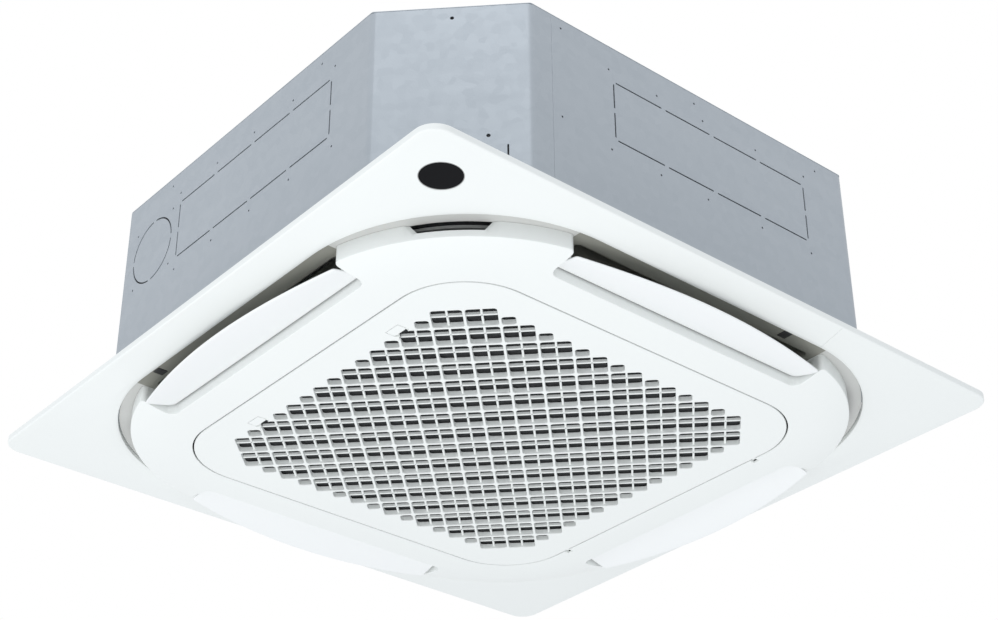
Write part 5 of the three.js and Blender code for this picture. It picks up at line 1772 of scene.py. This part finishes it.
cells = []
opening = PITCH - LATTICE_RIB
for i in range(-ROWS, ROWS):
    for j in range(-ROWS, ROWS):
        out = abs(i + 0.5) + abs(j + 0.5)
        if out > ROWS + 1:
            continue
        u, v, span = i * PITCH + LATTICE_RIB / 2, j * PITCH + LATTICE_RIB / 2, opening
        if out > ROWS:
            # A quarter opening fills each notch at the field's edge, nearest the middle.
            span = (opening - LATTICE_RIB) / 2
            u = u + opening - span if i < 0 else u
            v = v + opening - span if j < 0 else v
        corners = [on_diagonal(u + a, v + b) for a, b in rectangle(0, span, 0, span)]
        if abs(i - j) != 5 or i + j != -ROWS - 1:
            cells.append(rounded(corners, CELL_ROUND, 4))
            continue
        # The tip of this opening runs into the window round a latch's tab.
        tip, right, top, left = corners
        meet = ROOM_Y[1] - tip.y
        window_low = [(tip.x - ROOM_HALF, ROOM_Y[0]), (tip.x + ROOM_HALF, ROOM_Y[0])]
        going = [(tip.x + ROOM_HALF, ROOM_Y[1]), (tip.x + meet, ROOM_Y[1])]
        coming = [(tip.x - meet, ROOM_Y[1]), (tip.x - ROOM_HALF, ROOM_Y[1])]
        cells.append(rounded(
            window_low + going + [right, top, left] + coming,
            [0.4, 0.4, 4, 0, CELL_ROUND, CELL_ROUND, CELL_ROUND, 0, 4],
            4,
        ))
face_plate = formed(
    flat_ring(GRILLE_HALF, GRILLE_CORNER, 24, 6),
    level(FACE),
    [*SEAM_EASE, (0, GRILLE_SKIN)],
    cells,
    [(0.8, 0), (0.3, 0.15), (0, 0.7), (0, GRILLE_SKIN)],
)
# Behind the plate the lattice is deeper; it is open where a latch's window meets it.
CELL_HEART_Y = -250  # inside the two openings that run into a window
edge_cells = [c for c in cells if min(p.y for p in c) < -FIELD_HALF]
deep_cells = [c for c in cells if min(p.y for p in c) >= -FIELD_HALF]
field = square(FIELD_HALF)
deep_outline = rounded(field[3:] + field[:3], 12, 6)
notched = []
for i, here in enumerate(deep_outline):
    notched.append(here)
    on = deep_outline[(i + 1) % len(deep_outline)]
    if here.y > -FIELD_HALF + 0.1 or on.x < here.x + 100:
        continue
    # Along the straight side at -Y the outline goes in round each opening that a latch's window meets.
    for cell in sorted(edge_cells, key=lambda c: c[0].x):
        heart = Vector((sum(p.x for p in cell) / len(cell), CELL_HEART_Y))
        path = [p for p in cell if p.y > ROOM_Y[0] + 5]
        path.sort(key=lambda p: math.atan2(p.x - heart.x, p.y - heart.y))
        notched += [Vector((path[0].x, -FIELD_HALF)), *path, Vector((path[-1].x, -FIELD_HALF))]
deep_edge = [(0, GRILLE_SKIN - 0.3), (0, GRILLE_DEEP - 0.4), (0.4, GRILLE_DEEP)]
lattice = formed(notched, level(FACE), deep_edge, deep_cells, deep_edge)


def bar_along(start, end, width, low, high, ease=0.5):
    """A straight rib with its lower edges eased."""
    way = (end - start).normalized()
    across = Vector((-way.y, way.x)) * width / 2
    flat = 1 - 2 * ease / width
    section = [(-1, high), (-1, low + ease), (-flat, low), (flat, low), (1, low + ease), (1, high)]
    return ringed([[Vector((*(p + across * a), z)) for a, z in section] for p in (start, end)], "cap")


cross_low, cross_high = FACE + CROSS_SUNK, FACE + GRILLE_DEEP
crossing = []
for j in range(-ROWS, ROWS):
    reach = (ROWS - abs(j + 0.5) + 0.5) * PITCH - LATTICE_RIB / 2
    middle = (j + 0.5) * PITCH
    one_way = (on_diagonal(-reach, middle), on_diagonal(reach, middle))
    other_way = (on_diagonal(middle, -reach), on_diagonal(middle, reach))
    crossing.append(bar_along(*one_way, CROSS_W, cross_low, cross_high - 0.2))
    crossing.append(bar_along(*other_way, CROSS_W, cross_low, cross_high - 0.25))
skirt_edge = [(0, GRILLE_SKIN - 0.3), (0, GRILLE_DEEP - 0.3), (0.3, GRILLE_DEEP)]
skirt = formed(
    flat_ring(SKIRT_HALF, SKIRT_CORNER, 16, 6),
    level(FACE),
    skirt_edge,
    [flat_ring(SKIRT_HALF - SKIRT_WALL, SKIRT_CORNER - SKIRT_WALL, 16, 6)],
    skirt_edge,
)
# Two arms reach back to the hinge, each a flat finger that ends in a round knuckle.
ARM_ROOT = GRILLE_HALF - 10
ARM_BEND = GRILLE_HALF - 3
arm_low, arm_high = HINGE_Z - KNUCKLE_R, HINGE_Z + 1.4
finger = [
    (ARM_ROOT, FACE + 1), (ARM_BEND, FACE + 1), (ARM_BEND, arm_low),
    (HINGE_Y, arm_low), (HINGE_Y, arm_high), (ARM_ROOT, arm_high),
]
arms = []
for side in (-1, 1):
    x0, x1 = side * HINGE_X - ARM_W / 2, side * HINGE_X + ARM_W / 2
    arms.append(drawn_along_x(finger, x0, x1))
    arms.append(drawn_along_x(circle(HINGE_Y, HINGE_Z, KNUCKLE_R), x0, x1))
# A strap over each latch, on a foot at either side, holds the slider down.
STRAP = 3
straps = []
for side in (-1, 1):
    x, y = side * LATCH_X, TAB_Y[0] - 10
    over = LATCH_LOW + LATCH_THICK + 0.3
    inner_left, inner_right = x - ROOM_HALF, x + ROOM_HALF
    blocks = [
        (inner_left - STRAP, inner_right + STRAP, over, over + 2),
        (inner_left - STRAP, inner_left, FACE + 1, over + 1),
        (inner_right, inner_right + STRAP, FACE + 1, over + 1),
    ]
    for block in blocks:
        ends = [[Vector((a, b, c)) for a, c in rectangle(*block)] for b in (y - STRAP, y + STRAP)]
        straps.append(ringed(ends, "cap"))
grille = joined(face_plate, lattice, *crossing, skirt, *arms, *straps)
piece("grille_moulding", grille, panel_white, "grille", ["intake_grille"])

# Each latch: a slider behind the border, with a finger tab whose inner corners are round. Three fine
# ridges across the tab give the finger a grip.
GRIP_HALF = 8
GRIP_Y = (-273.5, -270.5, -267.5)
GRIP_RIDGE = [(-0.5, 0.35), (-0.2, 0.05), (0.2, 0.05), (0.5, 0.35)]
for side, hand in ((-1, "left"), (1, "right")):
    x = side * LATCH_X
    tab = formed(
        rounded(rectangle(x - LATCH_HALF, x + LATCH_HALF, *TAB_Y), [0.4, 0.4, 4, 4], 6),
        level(FACE),
        [(0.6, 0), (0.2, 0.12), (0, 0.5), (0, LATCH_LOW + LATCH_THICK - FACE)],
    )
    grips = []
    for y in GRIP_Y:
        ridge = [(y + across, FACE + up) for across, up in GRIP_RIDGE]
        grips.append(drawn_along_x(ridge, x - GRIP_HALF, x + GRIP_HALF))
    slider = formed(
        rounded(rectangle(x - LATCH_HALF, x + LATCH_HALF, -GRILLE_HALF + 0.5, TAB_Y[0] + 2), 1, 3),
        level(LATCH_LOW),
        eased_twice(0.3, LATCH_THICK),
    )
    piece(
        hand + "_latch_tab",
        joined(tab, slider, *grips),
        panel_white,
        "latch_" + hand,
        ["grille_latch_" + hand],
    )

# ---------------------------------------------------------------- air filter
# A black moulded rim with two cross ribs and a fine net of woven threads in it. It lies in the grille's
# skirt, behind the lattice, and swings down with the grille.

FILTER_HALF = 280
FILTER_CORNER = 60
FILTER_LOW = -26.6
FILTER_HIGH = -22.6
FILTER_RIM = 6
NET_HALF = 277


def weave_pattern():
    """Crossed threads, with painted shade in the gaps between them."""
    group, given, at = new_pattern(
        "woven_net",
        {"Color": (0.03, 0.031, 0.033), "Gap shade": (0.004, 0.004, 0.004), "Threads per metre": 700.0,
         "Roughness": 0.6},
    )
    axes = group.nodes.new("ShaderNodeSeparateXYZ")
    group.links.new(at, axes.inputs[0])
    ridges = [from_middle(group, axes.outputs[axis], given["Threads per metre"]) for axis in (0, 1)]
    thread = math_node(group, "MULTIPLY", math_node(group, "MAXIMUM", *ridges), 2.0)
    rough = varied(group, given["Roughness"], noise(group, at, 25.0), 0.12)
    # Painted shade: the colour darkens in the gaps between the threads.
    return put_out(group, mixed(group, thread, given["Gap shade"], given["Color"]), rough, thread)


filter_net = coated("filter_net", weave_pattern(), {}, relief=0.5, relief_depth=0.0005)
rim_edge = eased_twice(0.5, FILTER_HIGH - FILTER_LOW)
rim = formed(
    rounded(square(FILTER_HALF), FILTER_CORNER, 10),
    level(FILTER_LOW),
    rim_edge,
    [rounded(square(FILTER_HALF - FILTER_RIM), FILTER_CORNER - FILTER_RIM, 10)],
    rim_edge,
)
reach = FILTER_HALF - 4
cross_ribs = [
    bar_along(Vector((0, -reach)), Vector((0, reach)), 6, FILTER_LOW + 1.4, FILTER_HIGH - 0.5),
    bar_along(Vector((-reach, 0)), Vector((reach, 0)), 8, FILTER_LOW + 1.4, FILTER_HIGH - 1),
]
piece("filter_rim", joined(rim, *cross_ribs), black_moulding, "grille", ["air_filter"])
net_corner = FILTER_CORNER - FILTER_HALF + NET_HALF
net = formed(rounded(square(NET_HALF), net_corner, 10), level(FILTER_LOW + 1), plain_edge(0.8))
piece("filter_net", net, filter_net, "grille")

# ---------------------------------------------------------------- studio
# A pale floor well below the unit. The surround is white to the camera, to gloss and through glass, and
# lights the rest as a pale grey. Soft square lamps stand below, in front and above the near corner.

FLOOR_Z = -5200
FLOOR_HALF = 30000
plate = bmesh.new()
plate.faces.new([plate.verts.new(Vector((x, y, FLOOR_Z)) * MM) for x, y in square(FLOOR_HALF)])
mesh = bpy.data.meshes.new("studio_floor")
plate.to_mesh(mesh)
plate.free()
floor = bpy.data.objects.new("studio_floor", mesh)
bpy.context.scene.collection.objects.link(floor)
floor_paint = bpy.data.materials.new("floor_paint")
floor_paint.use_nodes = True
paint = floor_paint.node_tree.nodes["Principled BSDF"]
paint.inputs["Base Color"].default_value = (0.86, 0.86, 0.86, 1)
paint.inputs["Roughness"].default_value = 0.9
mesh.materials.append(floor_paint)

SURROUND = (0.74, 0.765, 0.80, 1)
world = bpy.data.worlds.new("studio")
bpy.context.scene.world = world
world.use_nodes = True
nodes, links = world.node_tree.nodes, world.node_tree.links
nodes.clear()
ray = nodes.new("ShaderNodeLightPath")
soft = nodes.new("ShaderNodeBackground")
soft.inputs["Color"].default_value = SURROUND
white = nodes.new("ShaderNodeBackground")
white.inputs["Color"].default_value = (1, 1, 1, 1)


def either(first, second):
    node = nodes.new("ShaderNodeMath")
    node.operation = "MAXIMUM"
    links.new(first, node.inputs[0])
    links.new(second, node.inputs[1])
    return node.outputs[0]


direct = either(ray.outputs["Is Camera Ray"], ray.outputs["Is Glossy Ray"])
seen = either(direct, ray.outputs["Is Transmission Ray"])
blend = nodes.new("ShaderNodeMixShader")
links.new(seen, blend.inputs[0])
links.new(soft.outputs[0], blend.inputs[1])
links.new(white.outputs[0], blend.inputs[2])
links.new(blend.outputs[0], nodes.new("ShaderNodeOutputWorld").inputs["Surface"])


def lamp(name, at, aim, size, power, color=(1, 1, 1), in_gloss=False):
    """A soft square lamp that the camera doesn't see."""
    light = bpy.data.lights.new(name, "AREA")
    light.shape = "SQUARE"
    light.size = size
    light.energy = power
    light.color = color
    made = bpy.data.objects.new(name, light)
    made.location = at
    made.rotation_euler = (Vector(aim) - Vector(at)).to_track_quat("-Z", "Y").to_euler()
    made.visible_camera = False
    made.visible_glossy = in_gloss
    bpy.context.scene.collection.objects.link(made)


lamp("lamp_below", (0.85, -1.15, -3.0), (0, 0, 0), 2.4, 52)
lamp("lamp_front", (-1.2, -3.6, -0.4), (0, 0, 0.1), 2.0, 18, (0.97, 0.985, 1))
lamp("lamp_corner", (2.05, -1.85, 2.6), (0.3, -0.3, 0.15), 1.8, 22, (0.97, 0.985, 1), True)

CAMERA_AT = (1.78369, -1.49433, -1.27102)
CAMERA_TURN = (121.82685, 0.29854, 49.84024)  # degrees
camera = bpy.data.cameras.new("camera")
camera.sensor_width = 36
camera.lens = 70.701
camera.clip_end = 100
viewer = bpy.data.objects.new("camera", camera)
viewer.location = CAMERA_AT
viewer.rotation_euler = [math.radians(a) for a in CAMERA_TURN]
bpy.context.scene.collection.objects.link(viewer)
bpy.context.scene.camera = viewer
bpy.context.scene.view_settings.view_transform = "Standard"

bpy.context.view_layer.update()
